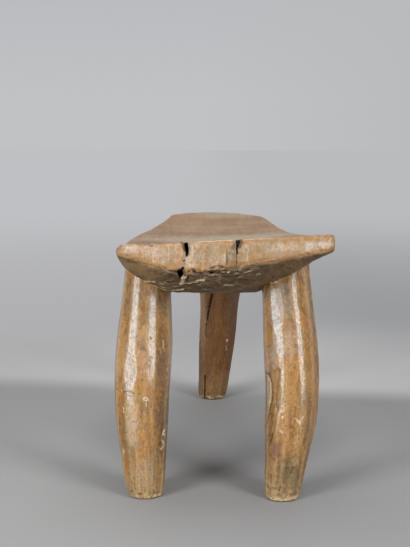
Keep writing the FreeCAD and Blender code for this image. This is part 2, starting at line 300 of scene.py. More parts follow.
class Surface:
    """A mesh's vertices in millimetres, to be carved and painted."""

    gaps = Relief((4.5, 4.5, 4.5), 5.1, 1.0, 2)  # where a broken mark fades out
    rim = Relief((4.5, 4.5, 4.5), 3.1, 1.0, 4)  # how a patch frays
    full_mark: float = 0.35  # share of a mark's width that gets its full depth
    patch_rim: Pair = (0.45, 1.15)  # where a patch fades, in its radii

    def __init__(self, obj: Object) -> None:
        """Read the object's mesh."""
        self.mesh = obj.data
        self.count = len(self.mesh.vertices)
        self.points = self._read("co") * 1000.0
        self.tones = {tone: np.zeros(self.count) for tone in Tone}
        edges = np.zeros(len(self.mesh.edges) * 2, dtype=np.int32)
        self.mesh.edges.foreach_get("vertices", edges)
        self.edges = edges.reshape(-1, 2)
        self.valence = np.maximum(np.bincount(self.edges.ravel(), minlength=self.count), 1)
        self.normals = self._read("normal")

    def _read(self, name: str) -> np.ndarray:
        """One vector a vertex from the mesh."""
        values = np.zeros(self.count * 3)
        self.mesh.vertices.foreach_get(name, values)
        return values.reshape(-1, 3)

    def spread(self, values: np.ndarray, rounds: int) -> np.ndarray:
        """Average values with those of the neighbours, several times."""
        first, second = self.edges[:, 0], self.edges[:, 1]
        for _ in range(rounds):
            total = np.bincount(first, values[second], self.count)
            total += np.bincount(second, values[first], self.count)
            values = (values + total / self.valence) / 2
        return values

    def relax(self, rounds: int, weight: Optional[np.ndarray] = None) -> None:
        """Smooth the shape, all over or by a weight a vertex."""
        for _ in range(rounds):
            smooth = np.stack([self.spread(self.points[:, i], 1) for i in range(3)], axis=1)
            if weight is None:
                self.points = smooth
            else:
                self.points += (smooth - self.points) * weight[:, None]
        self.write()

    def raise_by(self, height: np.ndarray) -> None:
        """Move the surface out along its normals, in millimetres."""
        self.points += self.normals * height[:, None]
        self.write()

    def write(self) -> None:
        """Store the points in the mesh and read the new normals."""
        self.mesh.vertices.foreach_set("co", (self.points * MM).ravel())
        self.mesh.update()
        self.normals = self._read("normal")

    def paint(self, tone: Tone, amount: np.ndarray, near: object = slice(None)) -> None:
        """Lay a tone on some or all vertices, keeping what is already stronger."""
        layer = self.tones[tone]
        layer[near] = np.maximum(layer[near], np.clip(amount, 0.0, 1.0))

    def near(self, path: np.ndarray, margin: float) -> np.ndarray:
        """Numbers of the vertices inside a path's box, widened by a margin."""
        low, high = path.min(axis=0) - margin, path.max(axis=0) + margin
        return np.flatnonzero(((self.points > low) & (self.points < high)).all(axis=1))

    def snap(self, here: np.ndarray, path: np.ndarray, step: float = 1.5) -> np.ndarray:
        """Lay a path on the surface.

        Args:
            here: points of the surface to choose from.
            path: places near the surface, in millimetres.
            step: distance between the new path's places.

        Returns:
            The path's places, each on the nearest point.
        """
        places = [path[0]]
        for begin, end in zip(path[:-1], path[1:]):
            parts = max(1, int(np.linalg.norm(end - begin) / step))
            places += [begin + (end - begin) * (i + 1) / parts for i in range(parts)]
        laid = [here[((here - place) ** 2).sum(axis=1).argmin()] for place in places]
        if len(laid) == 1:
            laid.append(laid[0] + 0.01)
        return np.array(laid)

    def touch(self, near: np.ndarray, lift: np.ndarray, tone: Tone, amount: np.ndarray) -> None:
        """Raise some vertices and paint them. The caller writes the points when it is done."""
        self.points[near] += self.normals[near] * lift[:, None]
        self.paint(tone, amount, near)

    def mark(self, mark: Mark) -> None:
        """Carve and paint one mark."""
        path = np.array(mark.path)
        width = mark.width
        near = self.near(path, 6.0 + 2.0 * width)
        here = self.points[near]
        wobble = unevenness(here, (1.6 * width,) * 3, 7.3, 2) * width * 0.45
        distance = path_distance(here, self.snap(here, path)) + wobble
        amount = 1.0 - ramp(self.full_mark * width, width, distance)
        whole = ramp(-0.2, 0.2, self.gaps.over(here))
        amount *= 1.0 - mark.broken * (1.0 - whole)
        self.touch(near, -mark.depth * amount, mark.tone, amount * mark.amount)

    def patch(self, patch: Patch) -> None:
        """Paint one soft spot."""
        centre = np.array(patch.centre)
        near = self.near(centre[None, :], 1.6 * max(patch.radii))
        here = self.points[near]
        offset = (here - centre) / np.array(patch.radii)
        distance = np.sqrt((offset * offset).sum(axis=1))
        amount = 1.0 - ramp(*self.patch_rim, distance + self.rim.over(here) * 0.55)
        self.touch(near, np.zeros(len(near)), patch.tone, amount * patch.amount)

    def plane(self, flat: Flat) -> None:
        """Plane the surface down to one flat cut."""
        turn, tilt = math.radians(flat.turn), math.radians(flat.tilt)
        level = math.cos(tilt)
        facing = np.array((math.sin(turn) * level, -math.cos(turn) * level, math.sin(tilt)))
        offset = self.points - np.array(flat.place)
        away = np.sqrt((offset * offset).sum(axis=1))
        centre = self.points[away.argmin()]
        proud = (self.points - centre) @ facing + flat.depth
        proud -= np.maximum(away - flat.reach, 0.0) * flat.fade
        limit = max(2.0 * flat.reach, flat.reach + flat.depth / flat.fade)
        turned_away = self.normals @ facing < -0.3
        proud[turned_away | (away > limit)] = 0.0
        self.points -= facing * np.maximum(proud, 0.0)[:, None]

    def find_ridges(self, reach: int, full: float) -> None:
        """Paint ridges and grooves from how the surface bends.

        Args:
            reach: how many rounds of averaging widen the bend that is looked at.
            full: bend that counts as a full ridge, in millimetres of height.
        """
        wide = np.stack([self.spread(self.points[:, i], reach) for i in range(3)], axis=1)
        height = ((self.points - wide) * self.normals).sum(axis=1)
        self.paint(RIDGE_AND_LIGHT, self.spread(np.clip(height / full, 0.0, 1.0), 2))
        self.paint(GROOVE_AND_SHADE, self.spread(np.clip(-height / full, 0.0, 1.0), 2))

    def store(self) -> None:
        """Write the painted tones as vertex attributes."""
        for tone, amount in self.tones.items():
            layer = self.mesh.attributes.new(tone.value, "FLOAT", "POINT")
            layer.data.foreach_set("value", amount.astype(np.float32))


def link(name: str, mesh: bpy.types.Mesh) -> Object:
    """Put a mesh in the scene as an object at the origin."""
    obj = bpy.data.objects.new(name, mesh)
    bpy.context.scene.collection.objects.link(obj)
    return obj


def apply(obj: Object, kind: str, **settings: object) -> None:
    """Add a modifier and make its result the object's mesh.

    Args:
        obj: object to change.
        kind: the modifier's type.
        settings: attributes of the modifier.
    """
    modifier = obj.modifiers.new(kind.lower(), kind)
    for name, value in settings.items():
        setattr(modifier, name, value)
    bpy.context.view_layer.update()
    shaped = obj.evaluated_get(bpy.context.evaluated_depsgraph_get())
    mesh = bpy.data.meshes.new_from_object(shaped)
    obj.modifiers.clear()
    old, name = obj.data, obj.data.name
    obj.data = mesh
    bpy.data.meshes.remove(old)
    mesh.name = name


def cut(obj: Object, cavity: Cavity, seed: int) -> None:
    """Cut a ragged, narrowing hole into an object.

    Args:
        obj: object to cut.
        cavity: its outline and depth.
        seed: start of the raggedness.
    """
    rng = np.random.default_rng(seed)
    middle = np.mean(cavity.outline, axis=0)
    bm = bmesh.new()
    for along, share in ((cavity.front, 1.0), (cavity.back, cavity.taper)):
        for corner in cavity.outline:
            across, up = middle + (np.array(corner) - middle) * share
            place = np.array((across, along, up)) + rng.uniform(-cavity.ragged, cavity.ragged, 3)
            bm.verts.new((place * MM).tolist())
    hull = bmesh.ops.convex_hull(bm, input=list(bm.verts))
    spare = {item for item in hull["geom_interior"] + hull["geom_unused"]}
    bmesh.ops.delete(
        bm, geom=[item for item in spare if isinstance(item, bmesh.types.BMVert)], context="VERTS"
    )
    bmesh.ops.recalc_face_normals(bm, faces=list(bm.faces))
    tool = link("cutter", bpy.data.meshes.new("cutter"))
    bm.to_mesh(tool.data)
    bm.free()
    apply(obj, "BOOLEAN", operation="DIFFERENCE", solver="EXACT", object=tool)
    mesh = tool.data
    bpy.data.objects.remove(tool)
    bpy.data.meshes.remove(mesh)


@dataclass(frozen=True)
class Grain:
    """A pattern in the wood: the size of its figure along each axis, and how it shows."""

    size: Point
    detail: float = 3.0
    roughness: float = 0.55
    distortion: float = 0.0
    low: float = 0.4
    high: float = 0.6

    def build(self, tree: Tree, place: Socket) -> Socket:
        """Add the pattern's nodes.

        Args:
            tree: node tree of the material.
            place: where the pattern is read, in metres.

        Returns:
            An output from 0 to 1.
        """
        scale = tuple(1000.0 / size for size in self.size)
        mapped = add_node(tree, "ShaderNodeMapping", {"Vector": place, "Scale": scale})
        figure = add_node(
            tree,
            "ShaderNodeTexNoise",
            {
                "Vector": mapped.outputs[0],
                "Scale": 1.0,
                "Detail": self.detail,
                "Roughness": self.roughness,
                "Distortion": self.distortion,
            },
        )
        spread = add_node(
            tree,
            "ShaderNodeMapRange",
            {"Value": figure.outputs["Fac"], "From Min": self.low, "From Max": self.high},
            interpolation_type="SMOOTHSTEP",
        )
        return spread.outputs[0]


def start_material(name: str) -> tuple[bpy.types.Material, Tree, Socket]:
    """New material, its empty tree and the object coordinates."""
    material = bpy.data.materials.new(name)
    material.use_nodes = True
    tree = material.node_tree
    tree.nodes.clear()
    return material, tree, add_node(tree, "ShaderNodeTexCoord").outputs["Object"]


@dataclass(frozen=True)
class WoodFinish:
    """What every wood finish of the stool shares."""

    name: str

    def start(self) -> tuple[bpy.types.Material, Tree, Socket, dict]:
        """New material with its place input and what is painted on the piece.

        Returns:
            The material, its tree, the object coordinates and an output for each tone.
        """
        material, tree, place = start_material(self.name)
        painted = {
            tone: add_node(tree, "ShaderNodeAttribute", attribute_name=tone.value).outputs["Fac"]
            for tone in Tone
        }
        return material, tree, place, painted

    def add_shader(
        self,
        tree: Tree,
        base: Socket,
        roughness: tuple[float, tuple],
        heights: tuple,
        sockets: dict[str, float],
    ) -> None:
        """Add the shader with its colour, varied roughness and relief.

        Args:
            tree: node tree of the material.
            base: the colour.
            roughness: its plain value, then pairs of a value and where it is blended in.
            heights: pairs of a pattern and its height in millimetres.
            sockets: plain values of other sockets.
        """
        rough, steps = roughness
        for target, amount in steps:
            rough = add_node(tree, "ShaderNodeMix", {0: amount, 2: rough, 3: target}).outputs[0]
        total: object = 0.0
        for pattern, height in heights:
            total = add_node(
                tree, "ShaderNodeMath", {0: pattern, 1: height, 2: total}, operation="MULTIPLY_ADD"
            ).outputs[0]
        bump = add_node(tree, "ShaderNodeBump", {"Height": total, "Distance": MM, "Strength": 1.0})
        shader = add_node(
            tree,
            "ShaderNodeBsdfPrincipled",
            {"Base Color": base, "Roughness": rough, "Normal": bump.outputs[0], **sockets},
        )
        add_node(tree, "ShaderNodeOutputMaterial", {"Surface": shader.outputs[0]})


@dataclass(frozen=True)
class PolishedLeg(WoodFinish):
    """Tropical hardwood, hewn with an adze, then polished by decades of hands and feet.

    It gives the eye a honey-brown satin with upright grain, ochre and pinkish clouds, dirt in
    the hollows, a duller, paler foot where the polish wears off, and bright reflections
    that pores and dirt break up. A greyish coat is laid along the long reflections as a
    painted highlight, and the dark olive tone also stands for painted shade under the
    seat and on the inner sides of the legs.
    """

    honey: str = "#a87e45"
    ochre: str = "#b1792f"
    pink: str = "#bb8666"
    brown: str = "#684725"
    red: str = "#8b4c27"
    # greyish coat, also laid as a painted highlight along the long reflections
    film_and_sheen: str = "#9ba1a2"
    grime_and_shade: str = "#4c3d1d"
    foot: str = "#a98b5c"
    foot_dark: str = "#624a2b"
    dirt: str = "#3f2a18"
    fleck: str = "#d9bf95"
    pale: str = "#e2cda5"
    dark: str = "#22150c"
    stain: str = "#6f4c44"
    # heights in metres at which each zone begins and is full
    foot_zone: Pair = (0.069, 0.012)
    dull_zone: Pair = (0.13, 0.075)
    seat_zone: Pair = (0.168, 0.236)
    polish: float = 0.2
    coat: float = 0.38
    worn: float = 0.6
    bright_edges: float = 0.3

    def material(self) -> bpy.types.Material:
        """Build the material.

        Returns:
            The finished material.
        """
        material, tree, place, painted = self.start()
        fine = Grain((1.5, 1.5, 30), 4, 0.65, 0.6, 0.44, 0.62).build(tree, place)
        broad = Grain((8, 8, 70), 4, 0.6, 0.8, 0.44, 0.6).build(tree, place)
        cloud = Grain((17, 17, 26), 6, 0.68, 0.4, 0.46, 0.58).build(tree, place)
        rosy = Grain((13, 13, 31), 6, 0.68, 0.5, 0.48, 0.6).build(tree, place)
        reddish = Grain((10, 10, 38), 5, 0.66, 0.5, 0.54, 0.66).build(tree, place)
        blotch = Grain((3.4, 3.4, 4.6), 5, 0.75, 0.3, 0.48, 0.6).build(tree, place)
        # pores, dirt and flecks are drawn about twice as coarse as they are so that they show
        speck = Grain((1.7, 1.7, 2.9), 3, 0.75, 0, 0.52, 0.64).build(tree, place)
        fleck = Grain((1.6, 1.6, 4.4), 3, 0.75, 0.2, 0.56, 0.68).build(tree, place)
        pit = Grain((2.3, 2.3, 3.1), 2, 0.7, 0, 0.6, 0.7).build(tree, place)
        height = add_node(tree, "ShaderNodeSeparateXYZ", {0: place}).outputs["Z"]
        ragged = add_node(
            tree, "ShaderNodeMath", {0: cloud, 1: 0.02, 2: height}, operation="MULTIPLY_ADD"
        ).outputs[0]
        foot, low, under_seat = (
            add_node(
                tree,
                "ShaderNodeMapRange",
                {"Value": ragged, "From Min": begin, "From Max": end},
                interpolation_type="SMOOTHSTEP",
            ).outputs[0]
            for begin, end in (self.foot_zone, self.dull_zone, self.seat_zone)
        )
        # darker just under the seat, where it hangs over the leg tops: dirt, partly painted shade
        grime_and_shade, foot_lines = (
            add_node(tree, "ShaderNodeMath", {0: zone, 1: grain}, operation="MULTIPLY").outputs[0]
            for zone, grain in ((under_seat, blotch), (foot, fine))
        )
        base = lay_over(
            tree,
            linear(self.honey),
            (
                (self.ochre, cloud, 0.85),
                (self.pink, rosy, 0.36),
                (self.brown, broad, 0.62),
                (self.red, reddish, 0.5),
                (self.brown, fine, 0.16),
                (self.ochre, painted[OCHRE], 0.75),
                (self.pink, painted[END], 0.6),
                (self.grime_and_shade, blotch, 0.36),
                (self.film_and_sheen, painted[GREY], 0.6),
                (self.grime_and_shade, grime_and_shade, 0.65),
                (self.foot, foot, 0.66),
                (self.foot_dark, foot_lines, 0.7),
                (self.grime_and_shade, painted[UNDER], 0.8),
                (self.brown, painted[GROOVE_AND_SHADE], 0.7),
                (self.fleck, painted[RIDGE_AND_LIGHT], self.bright_edges),
                (self.fleck, fleck, 0.3),
                (self.dirt, speck, 0.42),
                (self.dirt, pit, 0.5),
                (self.stain, painted[TORN], 0.75),
                (self.pale, painted[PALE], 0.9),
                (self.dark, painted[DARK], 0.95),
            ),
        )
        roughness = (
            (self.polish + 0.16, low),
            (self.polish + 0.12, blotch),
            (self.polish + 0.3, speck),
            (self.worn, foot),
            (self.worn, painted[UNDER]),
            (self.worn, painted[TORN]),
            (0.8, painted[DARK]),
            (self.worn, painted[PALE]),
        )
        heights = (fine, -0.02), (blotch, 0.03), (speck, -0.04), (pit, -0.1), (cloud, 0.06)
        sockets = {"Specular IOR Level": 0.32, "Coat Weight": self.coat, "Coat Roughness": 0.1}
        self.add_shader(tree, base, (self.polish, roughness), heights, sockets)
        return material


@dataclass(frozen=True)
class SeatWood(WoodFinish):
    """The same hardwood on the seat, worn by sitting and left rough underneath.

    The top is a matt grey-brown with soft streaks along the seat, greyer towards the front,
    partly as a painted sheen. The front end shows speckled end grain, ochre where the arris
    is rubbed and whitish in patches. The underside is dark, hewn and dull, with torn fibres
    under the front arris, a painted shadow under that arris and painted light under the
    left overhang.
    """

    top: str = "#96775a"
    top_dark: str = "#7b5d43"
    top_light: str = "#b79a78"
    top_red: str = "#a06b45"
    top_grey: str = "#b8ad98"
    end: str = "#b7976c"
    end_pink: str = "#c99c80"
    end_ochre: str = "#ab7936"
    end_dark: str = "#644a31"
    end_grey: str = "#917f62"
    end_pale: str = "#ddd3ca"
    rubbed: str = "#986a30"
    under: str = "#6b5237"
    under_light: str = "#a07f52"
    under_dark: str = "#2f2720"
    torn: str = "#4f3e2c"
    pale: str = "#dcc7a0"
    dark: str = "#37281c"
    satin: float = 0.54

    def material(self) -> bpy.types.Material:
        """Build the material.

        Returns:
            The finished material.
        """
        material, tree, place, painted = self.start()
        fine = Grain((1.7, 45, 1.7), 4, 0.65, 0.5, 0.44, 0.62).build(tree, place)
        broad = Grain((11, 110, 11), 4, 0.62, 0.8, 0.44, 0.6).build(tree, place)
        cloud = Grain((24, 36, 24), 6, 0.66, 0.4, 0.46, 0.58).build(tree, place)
        reddish = Grain((60, 55, 30), 5, 0.6, 0.6, 0.46, 0.6).build(tree, place)
        sat_on = Grain((75, 34, 40), 5, 0.6, 0.5, 0.44, 0.6).build(tree, place)
        # pores of the end grain, drawn about twice as coarse as they are so that they show
        pore = Grain((1.9, 1.9, 2.5), 3, 0.75, 0, 0.48, 0.6).build(tree, place)
        dab = Grain((1.9, 1.9, 2.3), 3, 0.75, 0.3, 0.48, 0.62).build(tree, place)
        patchy = Grain((13, 13, 10), 6, 0.62, 0.5, 0.46, 0.6).build(tree, place)
        rosy = Grain((17, 17, 14), 6, 0.62, 0.5, 0.46, 0.58).build(tree, place)
        upright = Grain((3.4, 5, 17), 5, 0.62, 0.4, 0.46, 0.64).build(tree, place)
        hewn = Grain((4, 20, 4), 5, 0.7, 0.6, 0.46, 0.6).build(tree, place)
        fibre = Grain((9, 9, 1.5), 4, 0.7, 0.5, 0.48, 0.62).build(tree, place)
        bands, specks, ends, under_cut = (
            add_node(tree, "ShaderNodeMath", {0: grain, 1: painted[tone]}, operation="MULTIPLY")
            .outputs[0]
            for grain, tone in ((rosy, PALE), (dab, TORN), (pore, END), (hewn, UNDER))
        )
        rubbed, fibres = (
            add_node(tree, "ShaderNodeMix", {0: less, 2: painted[tone], 3: 0.0}).outputs[0]
            for less, tone in ((pore, OCHRE), (painted[END], PALE))
        )
        top = lay_over(
            tree,
            linear(self.top),
            (
                (self.top_dark, broad, 0.16),
                (self.top_light, sat_on, 0.45),
                (self.top_light, cloud, 0.12),
                (self.top_red, reddish, 0.34),
                (self.top_dark, fine, 0.25),
                (self.top_grey, painted[GREY], 0.8),
                (self.top_light, painted[RIDGE_AND_LIGHT], 0.2),
                (self.top_dark, painted[GROOVE_AND_SHADE], 0.5),
            ),
        )
        end = lay_over(
            tree,
            linear(self.end),
            (
                (self.end_pink, rosy, 0.6),
                (self.end_ochre, patchy, 0.6),
                (self.end_pale, upright, 0.35),
                (self.end_grey, painted[GREY], 0.8),
                (self.end_pale, painted[PALE], 0.7),
                (self.end_pink, bands, 0.5),
                (self.end_grey, dab, 0.34),
                (self.end_dark, pore, 0.36),
                (self.end_dark, painted[GROOVE_AND_SHADE], 0.7),
            ),
        )
        under = lay_over(
            tree,
            linear(self.under),
            (
                (self.under_light, cloud, 0.4),
                (self.under_dark, hewn, 0.4),
                (self.under_light, fibre, 0.3),
                (self.under_light, painted[OCHRE], 0.7),
                (self.under_light, painted[RIDGE_AND_LIGHT], 0.7),
                (self.under_dark, painted[GROOVE_AND_SHADE], 0.75),
            ),
        )
        base = lay_over(
            tree,
            top,
            (
                (under, painted[UNDER], 1.0),
                (end, painted[END], 1.0),
                (self.rubbed, rubbed, 0.9),
                (self.torn, painted[TORN], 0.75),
                (self.pale, fibres, 0.85),
                (self.end_dark, specks, 0.5),
                (self.dark, painted[DARK], 1.0),
            ),
        )
        roughness = (
            (0.64, broad),
            (0.72, painted[UNDER]),
            (0.5, painted[END]),
            (0.46, painted[OCHRE]),
            (0.85, painted[TORN]),
            (1.0, painted[DARK]),
        )
        heights = (fine, -0.05), (cloud, 0.1), (ends, -0.14), (under_cut, -0.3), (broad, 0.1)
        self.add_shader(tree, base, (self.satin, roughness), heights, {"IOR": 1.48})
        return material


@dataclass
class CarvedPiece:
    """A piece that stands for one CAD node, carved from a copy of it."""

    node: str
    slot: str
    finish: WoodFinish
    voxel: float = 1.0
    cavities: tuple[Cavity, ...] = ()
    marks: tuple[Mark, ...] = ()
    patches: tuple[Patch, ...] = ()
    limit: int = 195_000
    seed: float = 1.0
    obj: Object = field(init=False, default=None)

    def copy_node(self) -> None:
        """Merge a copy of the CAD mesh into one closed skin."""
        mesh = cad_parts[self.node].data.copy()
        mesh.name = f"carved_{self.node}"
        mesh.materials.clear()
        bm = bmesh.new()
        bm.from_mesh(mesh)
        bmesh.ops.remove_doubles(bm, verts=list(bm.verts), dist=SAME_PLACE)
        bm.to_mesh(mesh)
        bm.free()
        self.obj = link(f"carved_{self.node}", mesh)

    def prepare(self) -> None:
        """Change the copy before it is remeshed."""

    def carve(self, surface: Surface) -> None:
        """Shape and paint the fine surface."""
        raise NotImplementedError

    def keep(self, surface: Surface) -> np.ndarray:
        """How much each vertex is spared when the mesh is thinned."""
        painted = sum(surface.tones[tone] for tone in (PALE, DARK, TORN, OCHRE))
        return np.clip(surface.spread(painted, 4), 0.0, 1.0)

    def triangles(self) -> int:
        """Number of triangles in the piece."""
        return sum(len(polygon.vertices) - 2 for polygon in self.obj.data.polygons)

    def thin(self, spared: np.ndarray) -> None:
        """Bring the mesh under its limit of triangles, least where it is spared."""
        triangles = self.triangles()
        if triangles <= self.limit:
            return
        group = self.obj.vertex_groups.new(name="thin")
        steps = 10
        levels = np.round((1.0 - spared) * steps).astype(int)
        for level in range(steps + 1):
            members = np.flatnonzero(levels == level).tolist()
            group.add(members, level / steps, "REPLACE")
        apply(
            self.obj,
            "DECIMATE",
            ratio=self.limit / triangles,
            vertex_group="thin",
            vertex_group_factor=4.0,
        )
        self.obj.vertex_groups.clear()

    def build(self) -> Object:
        """Carve, paint and dress the piece.

        Returns:
            The finished object.
        """
        self.copy_node()
        self.prepare()
        for number, cavity in enumerate(self.cavities):
            cut(self.obj, cavity, number + 1)
        apply(self.obj, "REMESH", mode="VOXEL", voxel_size=self.voxel * MM)
        surface = Surface(self.obj)
        self.carve(surface)
        for mark in self.marks:
            surface.mark(mark)
        for patch in self.patches:
            surface.patch(patch)
        surface.write()
        surface.store()
        self.thin(self.keep(surface))
        for polygon in self.obj.data.polygons:
            polygon.use_smooth = True
        self.obj.data.materials.clear()
        self.obj.data.materials.append(self.finish.material())
        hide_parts(self.node)
        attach(self.obj, "root")
        log.info("%s: %d triangles", self.obj.name, self.triangles())
        return self.obj


@dataclass
class Leg(CarvedPiece):
    """Stout leg: lengthwise facets, a worn foot, its top sunk into the seat.

    `drift` holds heights and how far the front facets are shifted to the right there.
    Lengths are in millimetres.
    """

    sink: Point = (0.0, 2.3, 7.0)
    softening: int = 3
    swell: Relief = Relief((38, 38, 52), 0.0, 0.25, 2)
    small: Relief = Relief((6, 6, 13), 9.0, 0.09)
    crumbs: Relief = Relief((5, 5, 4), 3.0, 1.8)
    splits: Relief = Relief((3, 3, 30), 13.0, 0.9)
    dry: Relief = Relief((4, 4, 3), 6.0)
    facet_size: Point = (24, 24, 66)
    facet_depth: float = 0.2
    flats: tuple[Flat, ...] = ()
    drift: Pairs = ((0.0, 0.0), (250.0, 0.0))
    shoulder: float = 150.0
    foot_height: float = 22.0
    worn_rim: Pair = (7.0, 1.5)
    # heights in millimetres where the painted contact shadow along the sole begins and is full
    painted_contact_shadow: Pair = (1.9, 0.5)

    def prepare(self) -> None:
        """Lengthen the top into the seat, so that no gap shows where they meet."""
        bm = bmesh.new()
        bm.from_mesh(self.obj.data)
        cap = {
            vert
            for face in bm.faces
            if face.normal.z > 0.3 and face.calc_center_median().z > self.shoulder * MM
            for vert in face.verts
        }
        bmesh.ops.translate(bm, verts=list(cap), vec=Vector(self.sink) * MM)
        bm.to_mesh(self.obj.data)
        bm.free()

    def carve(self, surface: Surface) -> None:
        """Soften the facets, plane the flats, add hewing, wear the foot and paint a contact shadow
        along the sole.

        Args:
            surface: the leg's fine surface.
        """
        surface.relax(self.softening)
        heights, shifts = np.array(self.drift).T
        front = ramp(0.3, 0.8, -surface.normals[:, 1])
        surface.points[:, 0] += np.interp(surface.points[:, 2], heights, shifts) * front
        for flat in self.flats:
            surface.plane(flat)
        surface.relax(2)
        points = surface.points
        swell, small, crumbs, splits = (
            relief.over(points, self.seed)
            for relief in (self.swell, self.small, self.crumbs, self.splits)
        )
        hewing = (facets(points, self.facet_size, self.seed + 5.0) - 0.5) * self.facet_depth
        worn = np.minimum(crumbs, 0.0) + np.minimum(splits, 0.0)
        worn *= ramp(self.foot_height, 0.0, points[:, 2])
        body = ramp(0.0, 6.0, points[:, 2])
        surface.raise_by((swell + hewing + small + worn) * body)
        surface.relax(1)
        surface.find_ridges(24, 0.3)
        rim = ramp(*self.worn_rim, surface.points[:, 2])
        dry = self.dry.over(surface.points, self.seed)
        surface.paint(PALE, rim * ramp(-0.1, 0.35, dry) * ramp(0.8, 1.8, points[:, 2]) * 0.8)
        # painted contact shadow: a dark line along the bottom of the sole
        surface.paint(DARK, ramp(*self.painted_contact_shadow, points[:, 2]) * 0.8)


